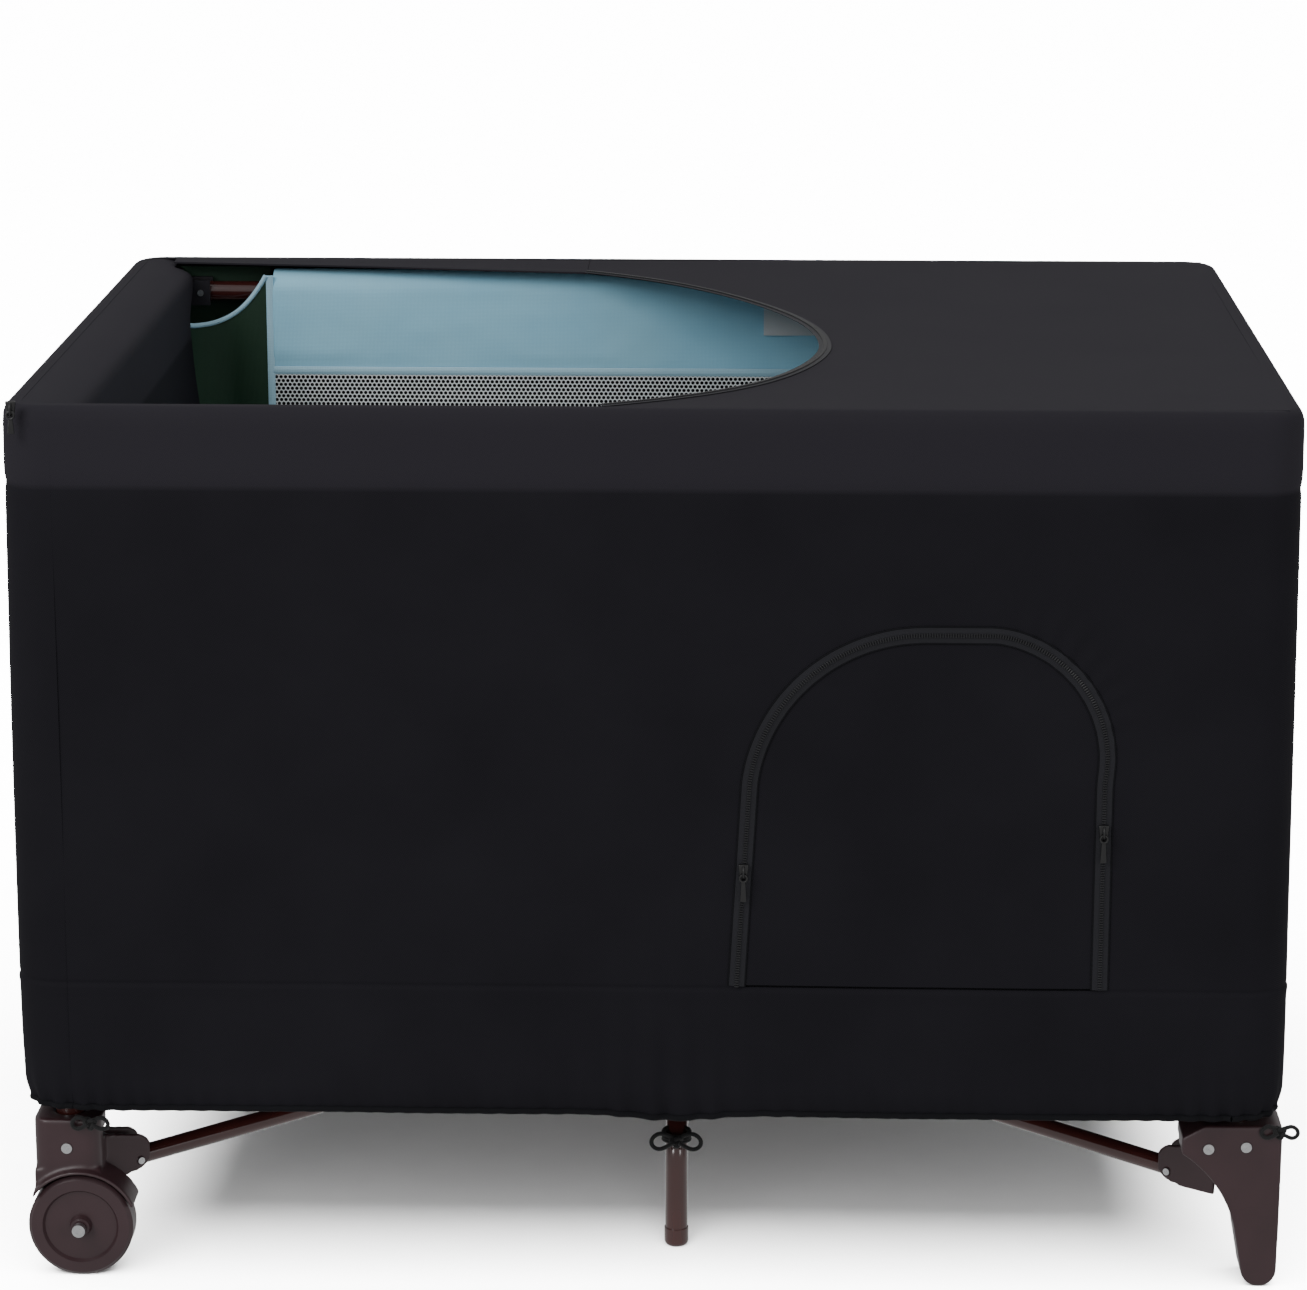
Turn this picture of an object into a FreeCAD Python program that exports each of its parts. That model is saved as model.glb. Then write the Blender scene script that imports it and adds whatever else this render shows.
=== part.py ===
import FreeCAD, Part
import math
import os

# A folding travel playpen with a fitted fabric cover. Millimetres, +Z up, origin on
# the floor under the middle. +X is the foot end, -X the caster end, -Y the front,
# where the arched door is. Everything is made in the +X +Y quarter, or along +X from
# the middle, and then mirrored or turned into place.

V = FreeCAD.Vector
UP = V(0, 0, 1)
ORIGIN = V(0, 0, 0)

# ---- driving dimensions -----------------------------------------------------------
PEN_LENGTH = 1042.0         # outside of the cover at the rim, along X
PEN_WIDTH = 756.0           # outside of the cover at the rim, along Y
PEN_HEIGHT = 744.0          # floor to the top of the cover
HEM_Z = 150.0               # lower edge of the cover
FLARE = 6.0                 # the hem stands this much further out than the rim
COVER_T = 3.0
PANEL_GAP = 1.0
STRIP_GAP = 2.0
COVER_CORNER_R = 34.0
COVER_SPLIT_X = 480.0       # seam between the long panels and the end panels
SEAM_GAP = 0.3

LEG_X = 488.0               # leg tube axis
LEG_Y = 345.0
LEG_D = 25.0
LEG_WALL = 1.5
SPIGOT_PLAY = 0.2
LEG_BOTTOM = 100.0
LEG_TOP = 690.0

RAIL_Z = 715.0
RAIL_D = 19.0
RAIL_WALL = 1.2
RAIL_PIN_OUT = 34.0         # rail pivot, measured from the leg axis
RAIL_MID_GAP = 8.0          # each rail half stops this far from the middle
LATCH_REACH = 1.0
LATCH_FIT = 0.5
PIN_D = 6.0
PIN_PLAY = 0.05             # radial running clearance of a pin

FLOOR_TUBE_D = 16.0
FLOOR_TUBE_WALL = 1.2
CORNER_PIVOT_R = 540.0      # floor tube pivot at the corner, from the middle
CORNER_PIVOT_Z = 82.0
HUB_PIVOT_R = 36.0
HUB_Z = 108.0
HUB_T = 24.0

WHEEL_D = 88.0
WHEEL_X = 478.0
WHEEL_Y0 = 352.0            # inner face of the wheel
WHEEL_Y1 = 377.0            # outer face of the wheel
AXLE_D = 8.0
AXLE_CAP_Y = 388.0

MID_LEG_D = 19.0
MID_LEG_X = 20.0            # the front leg stands to the right of the middle
MID_LEG_PIN_Y = 60.0
MID_LEG_FOOT_Y = 293.0
MID_LEG_BEND_R = 35.0

PAD_BOTTOM = 128.0
PAD_T = 20.0
PAD_ROUND = 8.0
PAD_X = 456.0
PAD_Y = 322.0
PAD_GAP = 3.0

LINER_HALF = 20.0           # half width of the padded rail cover
LINER_T = 3.5
LINER_END_GAP = 1.0
RAIL_COVER_CLEAR = 14.0     # the rail cover starts this far past the rail pin
LINER_BOTTOM = 146.0
LINER_SKIRT_Z = 686.0
LINER_TOP = 737.0

FLAP_HINGE_X = -466.0
FLAP_Z = 739.5
FLAP_T = 2.0
FLAP_ROOT_Y = 318.0         # half width where the flap passes between the rails
FLAP_NOTCH_X = -396.0       # the flap is full width beyond here
D_EDGE_GAP = 4.0            # half of the zip, between flap and top panel
D_BACK_START = V(-468, 338, 0)
D_BACK_END = V(-80, 303, 0)
D_SIDE = V(85, 150, 0)
D_TIP = V(142, -76, 0)
D_FRONT_SIDE = V(100, -217, 0)
D_FRONT_END = V(-40, -356, 0)

DOOR_BOTTOM = 262.0
DOOR_TOP = 562.0
DOOR_LEFT = 71.0            # left foot of the zip
DOOR_RIGHT = 368.0
DOOR_LEAN = 10.0            # the left leg of the zip leans in by this much
DOOR_SPRING_Z = 440.0       # the arch starts here
DOOR_SHOULDER_LEFT = V(121, 0, 520)
DOOR_SHOULDER_RIGHT = V(345, 0, 526)
DOOR_CROWN_X0 = 225.0
DOOR_CROWN_X1 = 281.0
DOOR_ZIP_HALF = 2.0         # the cover's edge, inside the zip line
DOOR_INSET = 7.5            # the door's edge, inside the zip line

CORNER_ANGLE = math.degrees(math.atan2(LEG_Y, LEG_X))
OUT_X = PEN_LENGTH / 2
OUT_Y = PEN_WIDTH / 2
FAR = 2000.0


# ---- small helpers ----------------------------------------------------------------
def box(x0, x1, y0, y1, z0, z1):
    """Box between two opposite corners."""
    return Part.makeBox(x1 - x0, y1 - y0, z1 - z0, V(x0, y0, z0))


def rod(start, direction, length, diameter):
    """Solid round bar from a point."""
    return Part.makeCylinder(diameter / 2, length, start, direction)


def pipe(start, direction, length, diameter, wall):
    """Round tube from a point."""
    bore = rod(start, direction, length, diameter - 2 * wall)
    return rod(start, direction, length, diameter).cut(bore)


def cross_bar(x, z, diameter, half_length):
    """Bar along Y, centred on the XZ plane."""
    return rod(V(x, -half_length, z), V(0, 1, 0), 2 * half_length, diameter)


def ears(x0, x1, gap, thickness, z0, z1):
    """Two plates either side of the XZ plane."""
    near = box(x0, x1, gap / 2, gap / 2 + thickness, z0, z1)
    far = box(x0, x1, -gap / 2 - thickness, -gap / 2, z0, z1)
    return near.fuse(far)


def turned(shape, degrees):
    """Copy turned about the vertical through the origin."""
    copy = shape.copy()
    copy.rotate(ORIGIN, UP, degrees)
    return copy


def moved(shape, vector):
    """Copy moved by a vector."""
    copy = shape.copy()
    copy.translate(vector)
    return copy


def at_corner(shape, sx, sy):
    """Piece of the +X +Y corner, mirrored to the corner with these signs."""
    if sx < 0:
        shape = shape.mirror(ORIGIN, V(1, 0, 0))
    if sy < 0:
        shape = shape.mirror(ORIGIN, V(0, 1, 0))
    return shape


def slab(edges, z0, z1):
    """Plate under a closed outline of edges drawn at z = 0."""
    face = Part.Face(Part.Wire(Part.__sortEdges__(edges)))
    return moved(face.extrude(V(0, 0, z1 - z0)), V(0, 0, z0))


def arc(a, b, c):
    """Circle arc through three points."""
    return Part.Arc(a, b, c).toShape()


def lines(points):
    """Straight edges joining points."""
    return [Part.makeLine(p, q) for p, q in zip(points, points[1:])]


def rounded_box(x0, x1, y0, y1, z0, z1, radius):
    """Box with its four upright edges rounded."""
    shape = box(x0, x1, y0, y1, z0, z1)
    uprights = [e for e in shape.Edges if abs(e.tangentAt(e.FirstParameter).z) > 0.5]
    return shape.makeFillet(radius, uprights)


NODES = {}


def add(name, shape):
    """Keep a node and report its solids and volume."""
    NODES[name] = shape
    shape.exportStep("parts/" + name + ".step")
    print(name, len(shape.Solids), "solids", round(shape.Volume / 1000, 1), "cm3")


CORNERS = {"front_left": (-1, -1), "front_right": (1, -1), "back_right": (1, 1), "back_left": (-1, 1)}


# ---- legs and top corners ---------------------------------------------------------
BRACKET_R = 16.0
BRACKET_TOP = 736.0
BRACKET_SPIGOT = 25.0
EAR_GAP = RAIL_D + 0.8
EAR_T = 4.0
EAR_OUT = 9.0               # ears go this far past the pin
EAR_HALF_Z = 12.0
PIN_HALF = 15.0


def leg_tube():
    """Corner upright."""
    return pipe(V(LEG_X, LEG_Y, LEG_BOTTOM), UP, LEG_TOP - LEG_BOTTOM, LEG_D, LEG_WALL)


def top_corner():
    """Moulded corner that caps the leg and holds the ends of two rails."""
    spigot_d = LEG_D - 2 * LEG_WALL - SPIGOT_PLAY
    body = rod(V(0, 0, LEG_TOP), UP, BRACKET_TOP - LEG_TOP, 2 * BRACKET_R)
    body = body.fuse(rod(V(0, 0, LEG_TOP - BRACKET_SPIGOT), UP, BRACKET_SPIGOT, spigot_d))
    arm = ears(0, RAIL_PIN_OUT + EAR_OUT, EAR_GAP, EAR_T, RAIL_Z - EAR_HALF_Z, RAIL_Z + EAR_HALF_Z)
    arm = arm.cut(cross_bar(RAIL_PIN_OUT, RAIL_Z, PIN_D, PIN_HALF))
    body = body.fuse([turned(arm, 180), turned(arm, -90)])
    return moved(body, V(LEG_X, LEG_Y, 0))


def rail_pin():
    """Rivet through the ears and the rail, in the rail's own frame."""
    return cross_bar(0, RAIL_Z, PIN_D, PIN_HALF)


# ---- folding rails ----------------------------------------------------------------
LATCH_BACK = 62.0           # housing length on its own half of the rail
LATCH_SADDLE = 44.0         # open saddle under the other half
LATCH_HALF_Y = 14.0
LATCH_HALF_Z = 16.0
LATCH_PLAY = 0.05
SADDLE_PLAY = 0.8
BUTTON_X = -34.0
BUTTON_LENGTH = 24.0
BUTTON_WIDTH = 15.0
BUTTON_TRAVEL = 4.0
BUTTON_TOP = RAIL_Z - RAIL_D / 2 - 1.0 - BUTTON_TRAVEL
BUTTON_BOTTOM = RAIL_Z - LATCH_HALF_Z - 5.0
BUTTON_ROUND = 4.0
BUTTON_PLAY = 0.2


def rail_half(length):
    """Half of a top rail, from its pin at x = 0 towards the middle."""
    start = V(-RAIL_D / 2, 0, RAIL_Z)
    tube = pipe(start, V(1, 0, 0), length - RAIL_MID_GAP + RAIL_D / 2, RAIL_D, RAIL_WALL)
    return tube.cut(cross_bar(0, RAIL_Z, PIN_D + 2 * PIN_PLAY, PIN_HALF))


def rail_latch(length):
    """Housing in the middle of a rail: a sleeve on one half, a saddle under the other."""
    low = RAIL_Z - LATCH_HALF_Z
    high = RAIL_Z + LATCH_HALF_Z
    end = length - RAIL_MID_GAP + LATCH_REACH
    body = box(length - LATCH_BACK, length + LATCH_SADDLE, -LATCH_HALF_Y, LATCH_HALF_Y, low, high)
    bore = rod(V(0, 0, RAIL_Z), V(1, 0, 0), end, RAIL_D + 2 * LATCH_PLAY)
    half = RAIL_D / 2 + SADDLE_PLAY
    slot = box(end - LATCH_FIT, length + LATCH_SADDLE, -half, half, RAIL_Z - half, high)
    pocket = box(length + BUTTON_X - BUTTON_LENGTH / 2 - BUTTON_PLAY,
                 length + BUTTON_X + BUTTON_LENGTH / 2 + BUTTON_PLAY,
                 -BUTTON_WIDTH / 2 - BUTTON_PLAY, BUTTON_WIDTH / 2 + BUTTON_PLAY, low, RAIL_Z)
    return body.cut([bore, slot, pocket.cut(rod(V(0, 0, RAIL_Z), V(1, 0, 0), 2 * length, RAIL_D))])


def latch_button(length):
    """Release button under the latch housing."""
    x = length + BUTTON_X
    return rounded_box(x - BUTTON_LENGTH / 2, x + BUTTON_LENGTH / 2, -BUTTON_WIDTH / 2,
                       BUTTON_WIDTH / 2, BUTTON_BOTTOM, BUTTON_TOP, BUTTON_ROUND)


LONG_HALF = LEG_X - RAIL_PIN_OUT
SHORT_HALF = LEG_Y - RAIL_PIN_OUT

# side of the pen: pin of the latch half, its heading, pin of the plain half, half length
RAILS = {
    "front": ("front_left", 0, "front_right", LONG_HALF),
    "back": ("back_left", 0, "back_right", LONG_HALF),
    "left": ("front_left", 90, "back_left", SHORT_HALF),
    "right": ("front_right", 90, "back_right", SHORT_HALF),
}


def rail_place(corner, heading):
    """Where the rail leaves a corner post along a heading in degrees."""
    sx, sy = CORNERS[corner]
    run = V(math.cos(math.radians(heading)), math.sin(math.radians(heading)), 0)
    return V(sx * LEG_X, sy * LEG_Y, 0) + run * RAIL_PIN_OUT


def on_rail(shape, corner, heading):
    """Shape of the rail's own frame, put at a corner and heading."""
    return moved(turned(shape, heading), rail_place(corner, heading))


def make_rails(pins):
    """All rails, latches and buttons; their pins are added to the corner's rivets."""
    for side, (first, heading, second, half) in RAILS.items():
        for corner, way in ((first, heading), (second, heading + 180)):
            add("rail_%s_at_%s" % (side, corner), on_rail(rail_half(half), corner, way))
            pins[corner].append(on_rail(rail_pin(), corner, way))
        add("rail_latch_" + side, on_rail(rail_latch(half), first, heading))
        add("latch_button_" + side, on_rail(latch_button(half), first, heading))


# ---- floor tubes, hub and middle legs ---------------------------------------------
FLOOR_EAR_GAP = FLOOR_TUBE_D + 0.8
FLOOR_PIN_HALF = 13.4
TUBE_PAST_PIN = 8.0
HUB_R = 24.0
HUB_EAR_END = 46.0
HUB_EAR_HALF_Z = 10.0
NECK_X0 = 4.0
NECK_X1 = 12.0
FORK_GAP = MID_LEG_D + 1.0
FORK_BACK_Y = 37.0
FORK_BRIDGE_Y = 44.0
FORK_END_Y = 70.0
MID_LEG_WALL = 1.5
CAP_D = 20.5
CAP_HEIGHT = 16.0
CAP_ROUND = 4.0
FORK_PIN_PAST = 1.0


# directions of the four floor tubes from the hub, in degrees
TUBE_ANGLES = [math.degrees(math.atan2(sy * LEG_Y, sx * LEG_X)) for sx, sy in CORNERS.values()]


def floor_tube():
    """Tube from the hub to a corner, made along +X."""
    fall = CORNER_PIVOT_Z - HUB_Z
    run = V(CORNER_PIVOT_R - HUB_PIVOT_R, 0, fall)
    step = V(run).normalize()
    start = V(HUB_PIVOT_R, 0, HUB_Z) - step * TUBE_PAST_PIN
    tube = pipe(start, step, run.Length + 2 * TUBE_PAST_PIN, FLOOR_TUBE_D, FLOOR_TUBE_WALL)
    hole_d = PIN_D + 2 * PIN_PLAY
    holes = [cross_bar(HUB_PIVOT_R, HUB_Z, hole_d, PIN_HALF),
             cross_bar(CORNER_PIVOT_R, CORNER_PIVOT_Z, hole_d, PIN_HALF)]
    return tube.cut(holes)


def hub_fork():
    """Neck and fork that hold the front middle leg."""
    half = FORK_GAP / 2 + EAR_T
    z0 = HUB_Z - HUB_EAR_HALF_Z
    z1 = HUB_Z + HUB_EAR_HALF_Z
    neck = box(NECK_X0, NECK_X1, -FORK_BRIDGE_Y, 0, z0, z1)
    bridge = box(MID_LEG_X - half, MID_LEG_X + half, -FORK_BRIDGE_Y, -FORK_BACK_Y, z0, z1)
    left = box(MID_LEG_X - half, MID_LEG_X - half + EAR_T, -FORK_END_Y, -FORK_BACK_Y, z0, z1)
    right = box(MID_LEG_X + half - EAR_T, MID_LEG_X + half, -FORK_END_Y, -FORK_BACK_Y, z0, z1)
    return neck.fuse([bridge, left, right]).cut(fork_pin())


def fork_pin():
    """Pin of the front middle leg."""
    half = FORK_GAP / 2 + EAR_T + FORK_PIN_PAST
    return rod(V(MID_LEG_X - half, -MID_LEG_PIN_Y, HUB_Z), V(1, 0, 0), 2 * half, PIN_D)


def hub():
    """Central moulding that the four floor tubes and two middle legs fold on."""
    body = rod(V(0, 0, HUB_Z - HUB_T / 2), UP, HUB_T, 2 * HUB_R)
    arm = ears(0, HUB_EAR_END, FLOOR_EAR_GAP, EAR_T, HUB_Z - HUB_EAR_HALF_Z, HUB_Z + HUB_EAR_HALF_Z)
    space = FLOOR_EAR_GAP / 2
    slot = box(HUB_R, HUB_EAR_END, -space, space, 0, FAR)
    pin_hole = cross_bar(HUB_PIVOT_R, HUB_Z, PIN_D, PIN_HALF)
    body = body.fuse([turned(arm, a) for a in TUBE_ANGLES])
    body = body.fuse([hub_fork(), turned(hub_fork(), 180)])
    return body.cut([turned(slot, a) for a in TUBE_ANGLES] + [turned(pin_hole, a) for a in TUBE_ANGLES])


def hub_rivets():
    """Four tube pins and two middle leg pins."""
    pin = cross_bar(HUB_PIVOT_R, HUB_Z, PIN_D, FLOOR_PIN_HALF)
    return Part.makeCompound([turned(pin, a) for a in TUBE_ANGLES] + [fork_pin(), turned(fork_pin(), 180)])


def middle_leg():
    """Front middle leg: straight out of the hub, then bent down to the floor, with its cap."""
    outer = Part.Face(Part.Wire(Part.makeCircle(MID_LEG_D / 2, V(0, 0, 0), V(0, 1, 0))))
    inner_r = MID_LEG_D / 2 - MID_LEG_WALL
    inner = Part.Face(Part.Wire(Part.makeCircle(inner_r, V(0, 0, 0), V(0, 1, 0))))
    start_y = -MID_LEG_PIN_Y + MID_LEG_D / 2
    bend_y = -MID_LEG_FOOT_Y + MID_LEG_BEND_R
    bend_z = HUB_Z - MID_LEG_BEND_R
    section = moved(outer.cut(inner), V(MID_LEG_X, start_y, HUB_Z))
    run = section.extrude(V(0, bend_y - start_y, 0))
    at_bend = moved(section, V(0, bend_y - start_y, 0))
    bend = at_bend.revolve(V(MID_LEG_X, bend_y, bend_z), V(1, 0, 0), 90)
    foot = V(MID_LEG_X, -MID_LEG_FOOT_Y, CAP_HEIGHT)
    drop = pipe(foot, UP, bend_z - CAP_HEIGHT, MID_LEG_D, MID_LEG_WALL)
    tube = run.fuse([bend, drop])
    hole = rod(V(0, -MID_LEG_PIN_Y, HUB_Z), V(1, 0, 0), 2 * MID_LEG_X, PIN_D + 2 * PIN_PLAY)
    cap = rod(V(MID_LEG_X, -MID_LEG_FOOT_Y, 0), UP, CAP_HEIGHT, CAP_D)
    cap = cap.makeFillet(CAP_ROUND, [cap.Edges[-1]])
    return Part.makeCompound([tube.cut(hole), cap])


# ---- casters and feet -------------------------------------------------------------
BLOCK_X0 = 460.0
BLOCK_X1 = 516.0
BLOCK_Y0 = 326.0
BLOCK_Y1 = 372.0
BLOCK_BOTTOM = 92.0
BLOCK_TOP = 137.0
SOCKET_PLAY = 0.05
FENDER_IN = 46.5
FENDER_OUT = 49.5
FENDER_LIFT = 18.0          # the fender stops this far above the axle
FENDER_Y0 = 344.0
FENDER_Y1 = 380.0
WEB_T = 5.0
WEB_HALF_X = 12.0
WEB_PAST_BOSS = 6.0
SADDLE_PAST = 1.0
BLOCK_ROUND = 12.0
BOSS_D = 24.0
BOSS_Y0 = 338.0
BOSS_Y1 = 351.0
EAR_R0 = 531.0
CASTER_EAR_R1 = 585.0
FLOOR_EAR_Z0 = 71.0
FLOOR_EAR_Z1 = 112.0
TUBE_SWING_PLAY = 6.0
RIVET_D = 5.0
RIVET_HEAD_D = 9.0
RIVET_HEAD_T = 1.2
RIVET_LENGTH = 13.0
AXLE_CAP_OFF = 5.0          # the cap starts this far outside the wheel's rim
AXLE_CAP_D = 11.0
WHEEL_CHAMFER = 3.0
WHEEL_RIM_R = 32.0          # inner edge of the rim's face
WHEEL_DISC_R = 30.0
WHEEL_DISH = 3.0            # depth of the disc inside the rim
WHEEL_HUB_R0 = 9.5
WHEEL_HUB_R1 = 8.0
WHEEL_HUB_PAST = 3.0
FOOT_RIVETS = ((494.0, 124.0), (463.0, 122.0))
CASTER_RIVETS = ((488.0, 112.0),)
FOOT_TIP_R = 15.0
FOOT_TIP_X = 508.0
FOOT_OUTER_X = 524.0
FOOT_TOP = 142.0
FOOT_ARM_X = 441.0
FOOT_ARM_TOP = 131.0
FOOT_ARM_BOTTOM = 117.0
FOOT_KNEE = V(470, 0, 89)
FOOT_SHIN = V(486, 0, 54)
FOOT_Y0 = 328.0


def leg_socket():
    """Space of the leg tube in a bottom moulding."""
    return rod(V(LEG_X, LEG_Y, LEG_BOTTOM), UP, FAR, LEG_D + 2 * SOCKET_PLAY)


def floor_ears(outer_radius):
    """Plates on the diagonal that hold a floor tube."""
    arm = ears(EAR_R0, outer_radius, FLOOR_EAR_GAP, EAR_T, FLOOR_EAR_Z0, FLOOR_EAR_Z1)
    arm = arm.cut(cross_bar(CORNER_PIVOT_R, CORNER_PIVOT_Z, PIN_D, PIN_HALF))
    return turned(arm, CORNER_ANGLE)


def tube_swing():
    """Space that the end of a floor tube turns in."""
    half = FLOOR_EAR_GAP / 2
    reach = CORNER_PIVOT_R + TUBE_PAST_PIN + TUBE_SWING_PLAY
    return turned(box(EAR_R0 - FAR, reach, -half, half, 0, FAR), CORNER_ANGLE)


def rivet_holes(places):
    """Holes for the rivets in the outer face."""
    return [rod(V(x, BLOCK_Y1 - RIVET_LENGTH, z), V(0, 1, 0), RIVET_LENGTH, RIVET_D) for x, z in places]


def rivets(places):
    """Rivets with low heads on the outer face."""
    made = []
    for x, z in places:
        shank = rod(V(x, BLOCK_Y1 - RIVET_LENGTH, z), V(0, 1, 0), RIVET_LENGTH, RIVET_D)
        head = rod(V(x, BLOCK_Y1, z), V(0, 1, 0), RIVET_HEAD_T, RIVET_HEAD_D)
        made.append(shank.fuse(head))
    return made


def axle():
    """Wheel axle with its cap."""
    shaft = rod(V(WHEEL_X, BOSS_Y0, WHEEL_D / 2), V(0, 1, 0), AXLE_CAP_Y - BOSS_Y0, AXLE_D)
    cap_y = WHEEL_Y1 + AXLE_CAP_OFF
    cap = rod(V(WHEEL_X, cap_y, WHEEL_D / 2), V(0, 1, 0), AXLE_CAP_Y - cap_y, AXLE_CAP_D)
    return shaft.fuse(cap)


def caster_housing():
    """Moulding on the foot of a leg with an arched fender over the wheel."""
    centre = V(WHEEL_X, 0, WHEEL_D / 2)
    block = rounded_box(BLOCK_X0, BLOCK_X1, BLOCK_Y0, BLOCK_Y1, BLOCK_BOTTOM, BLOCK_TOP, BLOCK_ROUND)
    fender = rod(centre + V(0, FENDER_Y0, 0), V(0, 1, 0), FENDER_Y1 - FENDER_Y0, 2 * FENDER_OUT)
    well = rod(centre + V(0, FENDER_Y0 + WEB_T, 0), V(0, 1, 0), FAR, 2 * FENDER_IN)
    lower = box(0, FAR, 0, FAR, -FAR, WHEEL_D / 2 + FENDER_LIFT)
    arch = fender.cut([well, lower])
    web = rod(centre + V(0, FENDER_Y0, 0), V(0, 1, 0), WEB_T, BOSS_D + WEB_PAST_BOSS)
    web = web.fuse(box(WHEEL_X - WEB_HALF_X, WHEEL_X + WEB_HALF_X, FENDER_Y0, FENDER_Y0 + WEB_T,
                       WHEEL_D / 2, BLOCK_BOTTOM))
    saddle = box(BLOCK_X0, BLOCK_X1, FENDER_Y0, BLOCK_Y1, WHEEL_D / 2 + FENDER_LIFT,
                 BLOCK_BOTTOM + SADDLE_PAST).cut(well)
    boss = rod(centre + V(0, BOSS_Y0, 0), V(0, 1, 0), BOSS_Y1 - BOSS_Y0, BOSS_D)
    body = block.fuse([arch, saddle, web, boss, floor_ears(CASTER_EAR_R1)])
    axle_hole = rod(centre, V(0, 1, 0), FAR, AXLE_D)
    return body.cut([leg_socket(), tube_swing(), axle_hole] + rivet_holes(CASTER_RIVETS))


def wheel():
    """Wheel with a stepped face, a tread and a bore."""
    r = WHEEL_D / 2
    y0 = WHEEL_Y0
    y1 = WHEEL_Y1
    bore = AXLE_D / 2 + PIN_PLAY
    dish = y1 - WHEEL_DISH
    hub_y = y1 + WHEEL_HUB_PAST
    outline = [V(bore, y0, 0), V(r - WHEEL_CHAMFER, y0, 0), V(r, y0 + WHEEL_CHAMFER, 0),
               V(r, y1 - WHEEL_CHAMFER, 0), V(r - WHEEL_CHAMFER, y1, 0), V(WHEEL_RIM_R, y1, 0),
               V(WHEEL_DISC_R, dish, 0), V(WHEEL_HUB_R0, dish, 0), V(WHEEL_HUB_R1, hub_y, 0),
               V(bore, hub_y, 0), V(bore, y0, 0)]
    face = Part.Face(Part.makePolygon(outline))
    solid = face.revolve(ORIGIN, V(0, 1, 0), 360)
    return moved(solid, V(WHEEL_X, 0, r))


def foot_bracket():
    """Plain foot on the other end, with a curved brace to the floor tube's ears."""
    tip = V(FOOT_TIP_X, 0, FOOT_TIP_R)
    edges = lines([V(FOOT_ARM_X, 0, FOOT_ARM_BOTTOM), V(FOOT_ARM_X, 0, FOOT_ARM_TOP),
                   V(BLOCK_X0, 0, FOOT_TOP), V(FOOT_OUTER_X, 0, FOOT_TOP),
                   V(FOOT_TIP_X + FOOT_TIP_R, 0, FOOT_TIP_R)])
    edges.append(arc(V(FOOT_TIP_X + FOOT_TIP_R, 0, FOOT_TIP_R), V(FOOT_TIP_X, 0, 0),
                     V(FOOT_TIP_X - FOOT_TIP_R, 0, FOOT_TIP_R)))
    edges += lines([tip - V(FOOT_TIP_R, 0, 0), FOOT_SHIN])
    edges.append(arc(FOOT_SHIN, FOOT_KNEE, V(FOOT_ARM_X, 0, FOOT_ARM_BOTTOM)))
    face = Part.Face(Part.Wire(Part.__sortEdges__(edges)))
    body = moved(face.extrude(V(0, BLOCK_Y1 - FOOT_Y0, 0)), V(0, FOOT_Y0, 0))
    body = body.fuse(floor_ears(CASTER_EAR_R1))
    return body.cut([leg_socket(), tube_swing()] + rivet_holes(FOOT_RIVETS))


# ---- soft parts -------------------------------------------------------------------
def liner_panel(half_wall, half_rail):
    """Wall of the liner with its padded rail cover, along X, outside towards -Y."""
    wall = box(-half_wall, half_wall, -LINER_HALF, -LINER_HALF + LINER_T,
               LINER_BOTTOM, LINER_SKIRT_Z + LINER_T)
    outer = box(-half_rail, half_rail, -LINER_HALF, LINER_HALF, LINER_SKIRT_Z, LINER_TOP)
    inside = LINER_HALF - LINER_T
    hollow = box(-half_rail, half_rail, -inside, inside, LINER_SKIRT_Z, LINER_TOP - LINER_T)
    return wall.fuse(outer.cut(hollow))


def make_liner():
    """Four liner walls."""
    reach = LINER_HALF - LINER_T - LINER_END_GAP
    clear = RAIL_PIN_OUT + RAIL_COVER_CLEAR
    long_wall = liner_panel(LEG_X + reach, LEG_X - clear)
    short_wall = liner_panel(LEG_Y + reach, LEG_Y - clear)
    add("liner_front", moved(long_wall, V(0, -LEG_Y, 0)))
    add("liner_back", moved(turned(long_wall, 180), V(0, LEG_Y, 0)))
    add("liner_left", moved(turned(short_wall, -90), V(-LEG_X, 0, 0)))
    add("liner_right", moved(turned(short_wall, 90), V(LEG_X, 0, 0)))


def floor_pad():
    """Quarter of the padded floor."""
    return rounded_box(PAD_GAP, PAD_X, PAD_GAP, PAD_Y, PAD_BOTTOM, PAD_BOTTOM + PAD_T, PAD_ROUND)


def rounded_rectangle(half_x, half_y, radius, z):
    """Closed wire of a rectangle with round corners."""
    plate = rounded_box(-half_x, half_x, -half_y, half_y, 0, 1, radius)
    face = min(plate.Faces, key=lambda f: f.CenterOfMass.z)
    wire = face.OuterWire.copy()
    wire.translate(V(0, 0, z))
    return wire


def cover_shell():
    """Walls of the cover: a rounded box that widens a little towards the hem."""
    outer = Part.makeLoft([rounded_rectangle(OUT_X + FLARE, OUT_Y + FLARE, COVER_CORNER_R, HEM_Z),
                           rounded_rectangle(OUT_X, OUT_Y, COVER_CORNER_R, PEN_HEIGHT)], True, True)
    inner_x = OUT_X - COVER_T
    inner_y = OUT_Y - COVER_T
    inner_r = COVER_CORNER_R - COVER_T
    inner = Part.makeLoft([rounded_rectangle(inner_x + FLARE, inner_y + FLARE, inner_r, HEM_Z),
                           rounded_rectangle(inner_x, inner_y, inner_r, PEN_HEIGHT)], True, True)
    return outer.cut(inner)


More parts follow.
